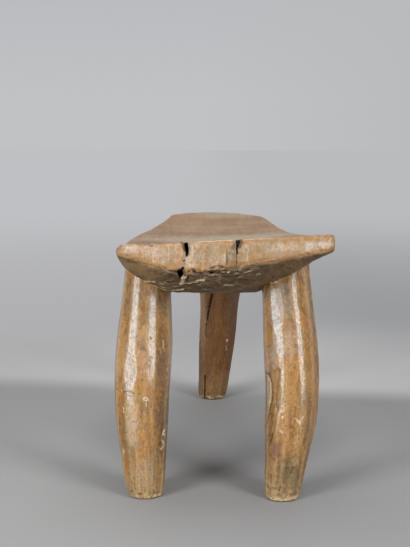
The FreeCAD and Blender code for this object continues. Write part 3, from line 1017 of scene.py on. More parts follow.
@dataclass
class Seat(CarvedPiece):
    """Saddle seat: worn top, end-grain front with two drying cracks, hewn underside."""

    chips: tuple[Chip, ...] = ()
    front: float = -232.5
    lower_arris: tuple[Point, ...] = (
        (-99.6, -232.5, 246.5),
        (-45.1, -232.5, 231),
        (-20.1, -232.5, 231),
        (107.1, -232.5, 251),
    )
    upper_arris: tuple[Point, ...] = ((-99.6, -232.5, 256.5), (107.1, -232.5, 266))
    # where the torn fibres begin and are full: from the left, the right and behind
    torn: Pairs = ((-70, -54), (42, 26), (-188, -208))
    # torn layers, shreds on them, their bright edges and the holes between them
    layers: Relief = Relief((34, 9, 4), 4.4, 3.2)
    shreds: Relief = Relief((14, 4, 2.2), 8.1, 0.4)
    bright: Relief = Relief((12, 12, 6), 1.7, 1.0, 2)
    holes: Relief = Relief((13, 5, 2.6), 5.9)
    hole_depth: float = 1.4
    layer_height: float = 0.4
    # cuts underneath and on top, and the wear over them
    hewn_size: Point = (26, 40, 22)
    hewn_depth: float = 1.1
    dished_size: Point = (34, 75, 60)
    dished_depth: float = 0.45
    swell: Relief = Relief((42, 60, 42), 5.0, 0.5, 2)
    small: Relief = Relief((6, 12, 6), 6.0)
    end_wear: Relief = Relief((9, 9, 8), 12.0)
    nicks: Relief = Relief((9, 13, 7), 3.0)
    nick_depth: float = 1.8
    # edges of the painted zones, the broken arris, and the chips of the end
    fraying: Relief = Relief((9, 9, 9), 2.0, 1.0, 4)
    breaking: Relief = Relief((3.5, 6, 3), 1.0)
    chip_rim: Relief = Relief((4, 9, 4), 6.6, 0.8)
    chip_face: Relief = Relief((3, 6, 4.5), 2.2)
    chip_reach: float = 16
    crack_reach: float = 40
    worn_tips: tuple[Flat, ...] = (
        Flat((-99.6, -232.5, 256.5), -90, 40, 3.6, 34),
        Flat((-108, -165, 248), -90, 42, 1.8, 50),
        Flat((-101.5, -60, 240), -90, 60, 1.8, 60),
        Flat((107.1, -232.5, 265), 50, 40, 1.6, 14),
        Flat((107.1, -232.5, 251.5), 50, -40, 1.2, 14),
    )

    def break_chip(self, surface: Surface, chip: Chip) -> None:
        """Break one chip out of the front end."""
        near = np.flatnonzero(surface.points[:, 1] < self.front + self.chip_reach)
        points = surface.points[near]
        across, deep, up = points.T
        edge = inside(chip.outline, across, up) + self.chip_rim.over(points)
        amount = ramp(-0.6, 0.4, edge) * ramp(14.0, 10.0, deep - self.front)
        low, *_, high = sorted(x for x, _ in chip.outline)
        share = np.clip((across - low) / (high - low), 0.0, 1.0)
        depth = chip.depth_left + (chip.depth_right - chip.depth_left) * share
        rough = self.chip_face.over(points) * chip.roughness
        surface.points[near, 1] += amount * np.maximum(depth + rough, 0.0)
        surface.paint(chip.tone, amount * chip.amount, near)

    def paint_cavity_shade(self, surface: Surface) -> None:
        """Paint the cracks and cavities darker the deeper they go: painted shade, with the dirt of
        old wood.
        """
        near = np.flatnonzero(surface.points[:, 1] < self.front + self.crack_reach)
        points = surface.points[near]
        across, deep, up = points.T
        for cavity in self.cavities:
            edge = inside(cavity.outline, across, up)
            amount = ramp(-0.8, 0.6, edge) * ramp(2.0, 13.0, deep - self.front)
            surface.paint(DARK, amount, near)

    def tear_fibres(self, surface: Surface) -> None:
        """Tear layers of fibre out of the underside behind the front arris."""
        points = surface.points
        across, along, _ = points.T
        left, right, back = self.torn
        zone = ramp(*left, across) * ramp(*right, across)
        zone *= ramp(*back, along) * surface.tones[UNDER]
        near = np.flatnonzero(zone > 0.01)
        here = points[near]
        layers = self.layers.over(here)
        step = layers - np.floor(layers)
        height = np.floor(layers) + ramp(0.4, 0.6, step)
        edges = 1.0 - ramp(0.04, 0.2, np.abs(step - 0.5))
        lift = np.zeros(surface.count)
        lift[near] = np.clip(height, -3.0, 3.0) * self.layer_height
        lift[near] += self.shreds.over(here)
        pale = np.zeros(surface.count)
        pale[near] = edges * ramp(-0.05, 0.3, self.bright.over(here))
        holes = np.zeros(surface.count)
        holes[near] = ramp(0.36, 0.56, self.holes.over(here))
        surface.raise_by(lift * zone - holes * zone * self.hole_depth)
        surface.paint(TORN, zone * 0.85)
        surface.paint(PALE, surface.spread(pale, 1) * zone * 0.5)
        # painted shade in the holes sunk between the layers
        surface.paint(DARK, holes * zone * 0.75)

    def paint_zones(self, surface: Surface) -> np.ndarray:
        """Tell the end grain, the underside and the rubbed arrises apart.

        Returns:
            How much each vertex belongs to the top.
        """
        points, normals = surface.points, surface.normals
        across, along, _ = points.T
        facing = surface.spread(-normals[:, 1], 3)
        upward = surface.spread(normals[:, 2], 3)
        front_zone = ramp(self.front + 5.0, self.front + 2.0, along)
        surface.paint(END, ramp(0.45, 0.75, facing) * front_zone)
        surface.paint(END, ramp(0.75, 0.95, -facing) * 0.35)
        surface.paint(UNDER, ramp(0.05, -0.4, upward) * (1.0 - surface.tones[END]))
        wobble = self.fraying.over(points)
        upper = path_distance(points, np.array(self.upper_arris))
        lower = path_distance(points, np.array(self.lower_arris))
        width = 3.0 + ramp(-35.0, 40.0, across) * 2.4 + ramp(55.0, 100.0, across) * 2.0
        broken = ramp(-0.5, 0.0, wobble + ramp(-40.0, 10.0, across) * 0.6)
        surface.paint(OCHRE, (1.0 - ramp(0.6, 1.3, (upper + wobble * 2.0) / width)) * broken)
        surface.paint(OCHRE, (1.0 - ramp(1.4, 4.6, lower + wobble * 2.5)) * 0.95)
        # greyer top towards the front: a grey coat, partly a painted sheen
        film_and_sheen = ramp(self.front + 70.0, self.front, along) * ramp(0.6, 0.9, upward)
        surface.paint(GREY, film_and_sheen * ramp(-0.4, 0.5, wobble) * ramp(90.0, -50.0, across))
        return ramp(0.5, 0.9, upward)

    def carve(self, surface: Surface) -> None:
        """Zones, hewing, torn fibres and chips.

        Args:
            surface: the seat's fine surface.
        """
        surface.relax(2)
        for flat in self.worn_tips:
            surface.plane(flat)
        tips = surface.points[:, None, :] - np.array([flat.place for flat in self.worn_tips])
        surface.relax(24, ramp(16.0, 6.0, np.sqrt((tips * tips).sum(axis=2)).min(axis=1)))
        top = self.paint_zones(surface)
        points, under = surface.points, surface.tones[UNDER]
        end = surface.tones[END] * ramp(0.0, -1.0, points[:, 1])  # not the tail
        hewing = (facets(points, self.hewn_size, 2.0) - 0.5) * under * self.hewn_depth
        dished = (facets(points, self.dished_size, 9.0) - 0.5) * top * self.dished_depth
        swell = self.swell.over(points)
        small = self.small.over(points) * (0.12 + 0.26 * under)
        worn_end = self.end_wear.over(points) * end * 0.5 - end * 0.3
        side = 1.0 - np.maximum(np.maximum(top, under), surface.tones[END])
        nicks = np.minimum(self.nicks.over(points) + 0.1, 0.0) * side * self.nick_depth
        surface.raise_by(hewing + dished + swell + small + worn_end + nicks)
        self.tear_fibres(surface)
        for chip in self.chips:
            self.break_chip(surface, chip)
        surface.write()
        points = surface.points
        ragged = self.breaking.over(points)
        arris = 1.0 - ramp(0.5, 4.0, path_distance(points, np.array(self.lower_arris)))
        middle = ramp(-44.0, -36.0, points[:, 0]) * ramp(24.0, 12.0, points[:, 0])
        broken = np.minimum(ragged - 0.12 * middle, 0.1) * arris * (1.2 + 1.8 * middle)
        surface.raise_by(broken)
        surface.paint(TORN, ramp(-0.3, -1.2, broken))
        # painted shade in the deepest dents of the broken arris
        surface.paint(DARK, ramp(-0.9, -1.9, broken) * 0.6)
        surface.relax(1)
        surface.find_ridges(20, 0.5)
        self.paint_cavity_shade(surface)

    def keep(self, surface: Surface) -> np.ndarray:
        """Spare the front end, where the finest work is."""
        begin = self.front + self.crack_reach
        near_front = ramp(begin, begin - 18.0, surface.points[:, 1])
        return np.maximum(super().keep(surface) * 0.8, near_front)


def make_seat() -> Seat:
    """The seat with its cracks, cavities, chips and flakes."""
    cavities = (
        # left crack: the open notch, then the closed line down to the lower arris
        Cavity(((-34.6, 257), (-32.4, 255.5), (-31.4, 250.6), (-33, 244.6), (-34.6, 247.4)),
             -204, 0.6, 0.3),
        Cavity(((-34.3, 246), (-32.5, 246), (-35, 240.8), (-36.8, 240.8)), -216, 0.9, 0.12),
        Cavity(((-36.8, 241.6), (-35, 241.6), (-36.2, 230.5), (-38, 230.5)), -216, 0.9, 0.12),
        # below it, and the pocket beside it
        Cavity(((-44.8, 229.9), (-36.6, 232.4), (-36.6, 226.4), (-38.8, 219.6), (-41.6, 224.2)),
             -202, 0.55),
        Cavity(((-34.9, 226.4), (-30.8, 225.9), (-32.6, 218.8)), -206, 0.5),
        # slots between the torn layers
        Cavity(((-13.4, 229.9), (-5.8, 230.3), (-6.4, 227.3), (-12.4, 226.8)), -212, 0.6),
        Cavity(((1.6, 231.8), (5, 231.6), (3.6, 228.4)), -215, 0.6),
        # right crack: the hole at its top, then the line down
        Cavity(((14.3, 256.6), (14.6, 262.4), (17.2, 262.8), (18.6, 258), (17.4, 254.4),
             (14.9, 252.4)), -214, 0.6, 0.3),
        Cavity(((13.2, 256.5), (14.6, 256.5), (14.6, 245), (13.6, 245)), -220, 0.9, 0.1),
        Cavity(((13, 233), (15, 233), (16.8, 229.4), (14.6, 229.4)), -214, 0.9, 0.12),
    )
    chips = (
        # left and right walls of the left notch, the left one painted dark brown as painted shade
        # in the notch
        Chip(((-41.4, 264.5), (-35.6, 264.5), (-33.6, 249), (-36, 249)), 0.4, 7.5, 0.4, TORN, 0.9),
        Chip(((-35.6, 264.5), (-30.4, 264.5), (-29.4, 246), (-33.4, 244)), 9, 0.6, 0.4, GREY, 1),
        # both sides of the closed line
        Chip(((-36, 246), (-33.4, 246), (-36, 231), (-40, 231)), 0, 1.6, 0.3, PALE, 0.25),
        Chip(((-33.6, 245), (-29.5, 243), (-30, 236), (-36.4, 236)), 1.8, 0.1, 0.5, PALE, 0.5),
        # beside the right crack, painted grey and dark brown as painted shade, since their shallow
        # cuts shade them little
        Chip(((4.6, 250.5), (12.9, 257), (13.6, 231), (2.6, 230.5)), 0.2, 2.6, 0.7, GREY, 0.95),
        Chip(((8.6, 262.5), (14, 263.5), (14, 250), (9.5, 251)), 0.2, 3.4, 0.4, GREY, 0.8),
        Chip(((14, 264.5), (19.4, 264.5), (20.2, 258), (18, 253), (14, 251)), 5, 2.4, 0.8, TORN, 1),
        Chip(((14.4, 254), (20, 257), (24.4, 251), (24.4, 240), (15, 231.5)),
             2.6, 0.2, 0.4, GREY, 0.6),
    )
    marks = (
        # splinters by the left leg
        Mark(((-77.8, -182.1, 213.1), (-71.3, -193.2, 215.3), (-64.5, -202.1, 216.1)),
             1.5, -1.3, PALE, 0.9, 0.4),
        Mark(((-70.8, -183.9, 207.5), (-63.9, -182.4, 205.5), (-57.5, -180.1, 204),
             (-50.1, -178.4, 204), (-43.7, -193.8, 207.2), (-36.9, -200.8, 209.2)),
             1.5, -1.4, PALE, 1, 0.4),
        Mark(((-66, -196, 211), (-58, -194, 208.8), (-50, -193, 208)), 1.2, -0.9, PALE, 0.7, 0.6),
        Mark(((-60, -205, 214), (-50, -205.5, 212.5), (-42, -206.5, 212)),
             1, -0.8, PALE, 0.55, 0.7),
        # fibres and the wedge under the left crack
        Mark(((-37.3, -216.2, 217), (-32.4, -217.9, 217.8), (-26.6, -219.7, 219),
             (-21.8, -222.1, 220.8), (-17, -223.1, 221.9)), 1.3, -1.2, PALE, 0.95, 0.3),
        Mark(((-29.6, -221, 220.4), (-22, -222, 221.4), (-16.3, -223, 222.4)),
             1, -0.8, PALE, 0.8, 0.4),
        Mark(((-38.7, -216.9, 217.6), (-36.1, -224.8, 223.1), (-33.8, -226, 226.6)),
             2.2, -2.4, PALE, 0.95),
        Mark(((-31, -232, 234.6), (-26.5, -232, 235.3), (-22.4, -232, 234)),
             1, -0.5, PALE, 0.8, 0.4),
        Mark(((-27, -229, 230), (-22.6, -229, 231.4), (-20, -230, 230.2)),
             1.1, -0.8, PALE, 0.8, 0.3),
        # painted shade in a shallow hollow left of the pocket, and a painted shadow under the
        # broken arris: a wide dark band and a shallow groove painted dark
        Mark(((-49, -230.5, 231), (-43, -230.5, 230.6), (-38, -230, 229.4)),
             3, 1.4, DARK, 0.7, 0.2),
        Mark(((-44, -226.5, 226), (-20, -225.5, 224.5), (8, -225.5, 225), (36, -226, 229)),
             11, 0, GROOVE_AND_SHADE, 0.8, 0.3),
        Mark(((-26, -230, 228.6), (-18, -229.5, 228.4), (-8, -229, 228.6), (4, -229, 229)),
             3.2, 1.8, DARK, 0.75, 0.4),
        # fibres in the middle and to the right
        Mark(((-16, -228, 227), (-8, -228.5, 227.8), (-1, -228, 227.2)), 0.9, -0.7, PALE, 0.6, 0.6),
        Mark(((0.2, -228.1, 229), (3.1, -227.9, 229.1), (6.4, -227.2, 228.9)), 1, -0.8, PALE, 0.8),
        Mark(((19.1, -222.3, 226.6), (23.3, -223.9, 228.8), (29, -224.4, 230.3)),
             1.1, -0.8, PALE, 0.8, 0.2),
        Mark(((2.5, -208.4, 213.3), (7.4, -207.9, 213.8), (11.3, -205.8, 213.3)),
             1.2, -0.7, PALE, 0.7, 0.3),
        Mark(((33.9, -213.1, 222.9), (34.1, -217.6, 226), (36.1, -217.4, 226.3),
             (37.2, -214, 224.3)), 0.9, 0.6, PALE, 0.7),
        # closed lower part of the right crack
        Mark(((14.1, -232.5, 247), (13.8, -232.5, 241), (14.3, -232.5, 236), (14.2, -232.5, 231.6)),
             1, 1.3, DARK, 1, 0.05),
        # dark lines and pale rims of the end
        Mark(((5.6, -232.5, 247.5), (5.2, -232.5, 237)), 1.1, 0.9, DARK, 0.8, 0.2),
        Mark(((10.4, -232.5, 259), (7.4, -232.5, 252), (4, -232.5, 243)), 0.9, 0.3, PALE, 0.7, 0.3),
        Mark(((24.3, -232.5, 252), (24.2, -232.5, 240.5)), 1, -0.2, PALE, 1),
        Mark(((20.2, -232.5, 258), (24.3, -232.5, 252)), 0.9, 0.1, PALE, 0.6, 0.3),
        Mark(((-93, -231, 257.4), (-60, -231, 258.7), (-42, -231, 259.6)),
             1.3, 0.2, TORN, 0.7, 0.6),
        # painted highlight along the upper arris
        Mark(((-22, -230.8, 259.9), (10, -230.8, 261.3)), 1, 0.1, PALE, 0.8, 0.2),
        Mark(((22, -230.8, 262.2), (38, -230.8, 263)), 1, 0.1, PALE, 0.7, 0.3),
        Mark(((-70, -231.5, 258.6), (-66, -231.8, 256)), 2, 1, TORN, 0.8),
    )
    patches = (
        # the sitting place, rubbed to a warmer brown, with greyer wood behind it, and before it
        # greyer wood that is partly a painted sheen
        Patch((-15, 120, 240), (58, 66, 24), OCHRE, 0.16),
        Patch((10, -20, 238), (110, 60, 20), GREY, 0.85),
        Patch((10, 215, 244), (60, 26, 14), GREY, 0.35),
        Patch((-74, -110, 245), (18, 80, 14), TORN, 0.6),
        # painted light on the underside under the left overhang, paler there
        Patch((-84, -214, 230), (26, 28, 16), RIDGE_AND_LIGHT, 1),
        # painted shade on the underside right of the right crack, under the front arris
        Patch((34, -212, 225), (50, 24, 14), GROOVE_AND_SHADE, 0.35),
        # more painted light on the underside by the left leg
        Patch((-70, -205, 220), (14, 20, 12), RIDGE_AND_LIGHT, 0.5),
        # paler top just behind the front arris: partly a painted sheen
        Patch((0, -222, 262), (90, 22, 10), PALE, 0.16),
    )
    # on the front end: across, up, both radii, tone, amount
    on_end = (
        (-96, 252.5, 5, 4, OCHRE, 0.9),
        (-86, 251.5, 9, 6, PALE, 0.6),
        (-64, 250, 20, 7, PALE, 0.35),
        (-46, 237, 10, 4, OCHRE, 0.8),
        (-16, 236, 9, 3.5, OCHRE, 0.6),
        (-6, 257, 16, 5, OCHRE, 0.45),
        (30, 252, 6, 11, OCHRE, 0.45),
        (52, 251, 12, 9, PALE, 0.35),
        (65, 253, 7, 7, PALE, 0.45),
        (62, 246.5, 46, 4.5, OCHRE, 0.6),
        (62, 247.5, 46, 5, GREY, 0.45),
        (77, 254, 3.5, 9, OCHRE, 0.5),
        (84, 255, 9, 7, PALE, 0.8),
        (98, 257, 8, 6, PALE, 1),
        (-50, 246, 13, 7, GREY, 0.5),
        (-12, 246, 17, 13, GREY, 0.55),
        (40, 250, 18, 13, GREY, 0.5),
        (92, 257, 14, 10, GREY, 0.35),
        (-30, 250, 4, 9, PALE, 0.5),
    )
    patches += tuple(
        Patch((across, Seat.front, up), (wide, 8, high), tone, amount)
        for across, up, wide, high, tone, amount in on_end
    )
    return Seat(
        node="seat",
        slot="seat_wood",
        finish=SeatWood("hewn_hardwood_seat"),
        voxel=0.9,
        cavities=cavities,
        marks=marks,
        patches=patches,
        chips=chips,
    )


def make_legs() -> tuple[Leg, Leg, Leg]:
    """The two front legs and the rear leg, each with its own scars."""
    polished = PolishedLeg("polished_hardwood_front_leg")
    # the rear leg's finish is a darker copy of the front legs': painted shade, for the seat shades
    # the rear leg
    shaded = PolishedLeg(
        "polished_hardwood_rear_leg_painted_shade",
        honey="#6a431f",
        ochre="#744b1c",
        pink="#7c4c2e",
        brown="#4a2e17",
        red="#73381a",
        film_and_sheen="#8a6c42",
        grime_and_shade="#4b3721",
        foot="#86693f",
        foot_dark="#5f462b",
        fleck="#a98d66",
        polish=0.42,
        coat=0.15,
        bright_edges=0.06,
    )
    left = Leg(
        node="front_left_leg",
        slot="front_leg_wood",
        finish=polished,
        seed=1,
        flats=(Flat((-91, -207, 130), -22, 14, 1.3, 6, 0.055),),
        marks=(
            # painted highlight: a greyish coat along the two long reflections, and along the
            # fainter sheen below the first
            Mark(((-85.8, -184, 205), (-85.4, -194, 176.6), (-86.2, -199, 162.4),
                 (-89.3, -204.5, 143), (-89.8, -210.5, 121)), 5.4, 0, GREY, 0.7, 0.3),
            Mark(((-91.5, -204, 150), (-92, -208, 132), (-91, -212, 108)), 7, 0, GREY, 0.7, 0.2),
            Mark(((-88, -216, 98), (-87, -219, 78), (-86.5, -221, 60)), 8, 0, GREY, 0.5, 0.4),
            Mark(((-68.8, -185, 203), (-68.6, -193.7, 176.5), (-68.4, -198.4, 162.3),
                 (-68.3, -203.5, 145), (-68.2, -209, 124)), 3.8, 0, GREY, 0.6, 0.3),
            # hat-shaped scar
            Mark(((-76.3, -216.1, 102.4), (-74.4, -215.5, 104), (-72, -215, 101.6)),
                 0.9, 0.3, PALE, 1),
            Mark(((-76.3, -216.1, 101.8), (-74.2, -216, 100), (-72.2, -215.2, 101.2)),
                 0.9, 0.3, PALE, 0.8),
            Mark(((-73.6, -216.4, 98.5), (-73.2, -216.6, 95.5)), 0.9, 0.3, PALE, 0.7),
            # scratches on the left edge
            Mark(((-98.7, -207.6, 108.4), (-98.2, -208, 107.2)), 1.1, 0.3, PALE, 0.9),
            Mark(((-96.3, -212.8, 92.4), (-96, -213.7, 87.6)), 0.9, 0.3, PALE, 0.9),
            Mark(((-94.2, -215.8, 86.2), (-93.8, -216, 84)), 0.8, 0.3, PALE, 0.5),
            Mark(((-96.8, -212.4, 49.6), (-96.4, -212.8, 46.4)), 1, 0.3, PALE, 0.8),
            # chipped edge on the right
            Mark(((-57.6, -208.2, 75.4), (-58.6, -209.6, 64.6), (-59.8, -210.8, 54.9)),
                 2.4, 0.9, DARK, 0.5, 0.6),
            Mark(((-54.5, -199.5, 70.9), (-57.7, -208.7, 65.4), (-55.4, -203.3, 60.5)),
                 0.9, 0.4, PALE, 1, 0.2),
            Mark(((-59.1, -210.3, 58.7), (-56.3, -207, 53.5), (-60.1, -211.3, 49.8)),
                 0.9, 0.4, PALE, 0.9, 0.3),
            Mark(((-57, -207, 68.4), (-59, -210, 61)), 0.8, 0.3, PALE, 0.8, 0.3),
            # dirt at the widest place
            Mark(((-84.4, -203, 150.4), (-80, -203.6, 147.8)), 2, 0.2, DARK, 0.35, 0.7),
            Mark(((-79.6, -204, 152.6), (-74.8, -204.2, 148.6)), 2, 0.2, DARK, 0.35, 0.7),
            Mark(((-70.6, -198.4, 160.6), (-69.4, -198.8, 158.4)), 1, 0.3, DARK, 0.6),
            Mark(((-58.2, -193, 156), (-57.2, -194.4, 147.4)), 1, 0.3, PALE, 0.7, 0.3),
            Mark(((-60.4, -197.6, 148), (-60, -197.8, 143)), 0.8, 0.3, PALE, 0.4, 0.4),
            # hair crack round the widest place
            Mark(((-101.5, -200, 108), (-96, -208, 107), (-90, -213, 108.6),
                 (-85.5, -214.5, 107.4)), 0.9, 0.2, DARK, 0.6, 0.3),
            # ring of dirt below the long reflections
            Mark(((-90, -213.6, 103.4), (-84, -216.4, 102.4), (-79.4, -216.4, 103)),
                 1.3, 0.4, GREY, 0.8, 0.5),
        ),
        patches=(
            Patch((-99.5, -195.5, 146.6), (7, 12, 44), OCHRE, 0.8),
            Patch((-99, -208, 103.9), (7, 10, 24), OCHRE, 0.6),
            Patch((-94.1, -184, 188), (8, 10, 15), UNDER, 0.4),
            Patch((-77.6, -190.1, 191), (6, 9, 18), UNDER, 0.3),
            Patch((-57, -182.7, 194), (8, 16, 22), UNDER, 0.65),
            Patch((-60.7, -194.6, 158.5), (6, 9, 8), OCHRE, 0.6),
            Patch((-57.6, -201.3, 125.6), (7, 14, 26), TORN, 0.45),
            Patch((-60, -210, 82), (8, 12, 18), TORN, 0.6),
            Patch((-57.4, -206, 62), (6, 14, 16), TORN, 0.5),
            # darker inner side: dirt, partly painted shade between the legs
            Patch((-58, -196, 130), (8, 20, 60), UNDER, 0.6),
            Patch((-77, -203, 152), (7, 12, 42), PALE, 0.12),
            Patch((-101, -198, 150), (7, 16, 50), PALE, 0.12),
            # painted sheen below the first long reflection
            Patch((-88, -217, 82), (7, 10, 28), PALE, 0.2),
            # darker inner side down to the foot: dirt, partly painted shade between the legs
            Patch((-56.5, -204, 72), (9, 26, 64), UNDER, 0.9),
            Patch((-61, -200, 40), (9, 26, 50), UNDER, 0.3),
            Patch((-77, -208, 137.2), (8, 9, 15), END, 0.7),
            Patch((-85.6, -220, 76.8), (8, 9, 19), END, 0.6),
            Patch((-76.8, -214.1, 114), (10, 9, 11), OCHRE, 0.7),
            Patch((-70.1, -218.9, 72), (9, 9, 18), OCHRE, 0.6),
            Patch((-92.3, -215.7, 29.6), (7, 10, 15), OCHRE, 0.6),
            Patch((-75.1, -221.3, 28), (13, 10, 15), GREY, 0.4),
        ),
    )
    right = Leg(
        node="front_right_leg",
        slot="front_leg_wood",
        finish=polished,
        seed=21,
        drift=((100, 0), (118, -0.8), (136, -1.7), (165, -2.1), (200, -2.8)),
        flats=(
            Flat((53.8, -190.5, 184), -23, 19, 1.1, 8, 0.05),
            Flat((52.7, -203.5, 151.5), -36, 14, 0.5, 12),
            Flat((53.5, -208.9, 134.8), -36, 12, 0.8, 12),
            Flat((54.7, -213.2, 118.6), -36, 11, 0.9, 12),
            Flat((55.5, -216.7, 103.4), -36, 9, 0.8, 12),
        ),
        marks=(
            # painted highlight: a greyish coat along the two long reflections
            Mark(((51.5, -184.5, 203), (53.8, -193.3, 181.5), (56.4, -199.5, 167.5),
                 (58.8, -205, 153.6), (60, -208.4, 144.3)), 4.4, 0, GREY, 1, 0.1),
            Mark(((48, -183, 203), (50.5, -192, 181.5), (53, -198, 167.5), (55.5, -203.5, 153.6),
                 (56.5, -207, 144.3)), 5.5, 0, GREY, 0.7, 0.3),
            Mark(((60.2, -212, 131), (60.4, -215.9, 115.9), (58.4, -218.3, 101.5),
                 (55.5, -221.7, 75)), 2, 0, GREY, 0.6, 0.2),
            Mark(((73.2, -185, 208), (74.6, -193.6, 186.6), (76.6, -198.4, 172.4),
                 (77.6, -203.8, 158.4), (77.9, -209, 144.4)), 3.4, 0, GREY, 0.4, 0.3),
            # two dots and two scratches
            Mark(((59.4, -222.2, 85.9), (61, -222.2, 84.9)), 1.1, 0.2, PALE, 1),
            Mark(((57.8, -223.4, 71.4), (59.2, -223.4, 70.2)), 1.1, 0.2, PALE, 1),
            Mark(((72, -223.7, 85), (74.4, -224, 81.9), (76.8, -224.1, 79.6)),
                 0.8, 0.2, PALE, 0.8, 0.3),
            Mark(((80.4, -222.3, 85.8), (77.6, -223.4, 82.6), (76.4, -224.1, 78.6)),
                 0.8, 0.2, PALE, 0.7, 0.4),
            # painted highlight along a raised ridge below the long reflection
            Mark(((61.3, -216.3, 116), (58.4, -219.3, 96.7), (55.5, -220.9, 82.1),
                 (53.2, -221.1, 67)), 1.3, -0.2, PALE, 0.25, 0.3),
            # knot on the left edge, and the grain that sweeps round it
            Mark(((44.5, -191.4, 122.2), (47.8, -203.3, 124), (49.7, -206.6, 118.7),
                 (50.5, -209.7, 109.4), (49.6, -211.1, 97.6), (47.7, -211.3, 87.5),
                 (45.4, -210.1, 75)), 1.4, 0.8, DARK, 0.85, 0.15),
            Mark(((46.6, -204.5, 121), (48.3, -207.6, 116), (48.9, -209, 106.7), (48, -209.5, 96)),
                 1, 0.1, PALE, 0.7, 0.3),
            Mark(((45.1, -195.7, 119.2), (45.4, -197.8, 110.5), (45.5, -200.2, 100.9),
                 (45.1, -201, 90.8)), 1.8, 0.6, DARK, 0.8, 0.4),
            Mark(((46.6, -203, 113), (46.9, -204.6, 104), (46.2, -205, 95)),
                 0.8, 0.2, PALE, 0.6, 0.4),
            Mark(((53.7, -214.2, 105.5), (54.1, -217.9, 91.3), (52.7, -219.1, 77.5),
                 (50, -217.7, 63.9), (47.2, -215.3, 54.1)), 1, 0.4, DARK, 0.5, 0.5),
            Mark(((50.8, -216.4, 66), (49.6, -216.9, 60.8), (47.2, -214.8, 56)),
                 1.2, 0.5, DARK, 0.75, 0.2),
            Mark(((50.4, -215.9, 80.7), (49, -216, 70.8), (46.2, -213.8, 60)),
                 0.9, 0.3, DARK, 0.5, 0.5),
            # pits near the foot
            Mark(((58.2, -226.7, 15.9), (56.5, -226.5, 11)), 1.4, 0.6, DARK, 0.8, 0.2),
            Mark(((70.8, -225.5, 35.9), (68.4, -225.8, 29.9)), 1.8, 0.4, DARK, 0.55, 0.4),
        ),
        patches=(
            Patch((53.7, -222.6, 51), (6, 12, 11), TORN, 0.9),
            Patch((46.6, -203, 106), (5, 12, 20), GREY, 0.7),
            Patch((66, -224, 26), (18, 16, 24), UNDER, 0.9),
            Patch((68, -204, 152), (7, 14, 36), PALE, 0.14),
            Patch((92, -195, 150), (8, 30, 60), UNDER, 0.25),
            Patch((84, -214, 60), (9, 16, 36), UNDER, 0.3),
            # darker inner edge: dirt, partly painted shade between the legs
            Patch((44, -200, 60), (8, 30, 60), UNDER, 0.35),
            Patch((51.2, -202.4, 143), (5, 9, 20), GREY, 0.6),
            Patch((69.8, -200, 170), (4, 10, 8), TORN, 0.6),
            Patch((64.5, -190, 198), (11, 14, 24), GREY, 0.5),
            Patch((64.5, -190, 198), (11, 14, 22), UNDER, 0.4),
            Patch((44.8, -189.6, 165), (5, 14, 32), OCHRE, 0.6),
            Patch((66.3, -206, 152), (7, 10, 22), GREY, 0.3),
            Patch((67.3, -217, 112), (8, 10, 22), OCHRE, 0.5),
            Patch((88.5, -202.5, 146), (7, 12, 30), OCHRE, 0.6),
            Patch((90.2, -183, 188), (7, 14, 16), UNDER, 0.35),
            Patch((60.5, -225.8, 60), (10, 10, 26), OCHRE, 0.35),
            Patch((77.8, -221, 22), (8, 12, 13), UNDER, 0.4),
        ),
    )
    rear = Leg(
        node="rear_leg",
        slot="rear_leg_wood",
        finish=shaded,
        seed=41,
        sink=(1.2, -2.7, 7),
        marks=(
            Mark(((-6, 140, 154), (-7.4, 144.2, 146.1), (-10.8, 151.1, 129.1)), 2, 3.2, DARK, 1),
            Mark(((-10.8, 151.1, 129.1), (-13.6, 156, 112.2)), 1.6, 2.6, DARK, 1),
            Mark(((-13.6, 156, 112.2), (-15.3, 159.3, 98.2), (-15.2, 161.3, 87.1)),
                 1.2, 1.6, DARK, 0.8, 0.3),
            Mark(((-16.5, 170.8, 34), (-16.5, 172.7, 16.4), (-16.8, 176, 0.5)), 1.5, 2.4, DARK, 1),
            Mark(((13.7, 158.6, 85.4), (13.4, 158.9, 83.4)), 1.2, 0.3, PALE, 0.8),
            Mark(((11.8, 160.4, 76), (12.8, 161.8, 71)), 1, 0.4, PALE, 0.5, 0.4),
            Mark(((11, 160.8, 74), (11.4, 163, 60)), 1.3, 0.5, DARK, 0.5, 0.6),
            Mark(((2.8, 172.7, 5.4), (6.9, 177.7, 2.8)), 1.4, 0.4, PALE, 0.7, 0.4),
        ),
        patches=(
            Patch((-20, 163, 125), (7, 20, 60), GREY, 0.5),
            Patch((-20, 163, 115), (7, 20, 70), OCHRE, 0.6),
            Patch((-20, 163, 115), (7, 20, 70), PALE, 0.08),
            Patch((-12, 172, 14), (9, 14, 16), GREY, 0.7),
            Patch((2, 157, 90), (7, 14, 46), OCHRE, 0.5),
            Patch((-3, 166, 38), (6, 10, 20), OCHRE, 0.8),
            Patch((16, 150, 130), (10, 22, 52), UNDER, 0.75),
            Patch((-19, 152, 150), (8, 16, 40), OCHRE, 0.6),
        ),
    )
    return left, right, rear


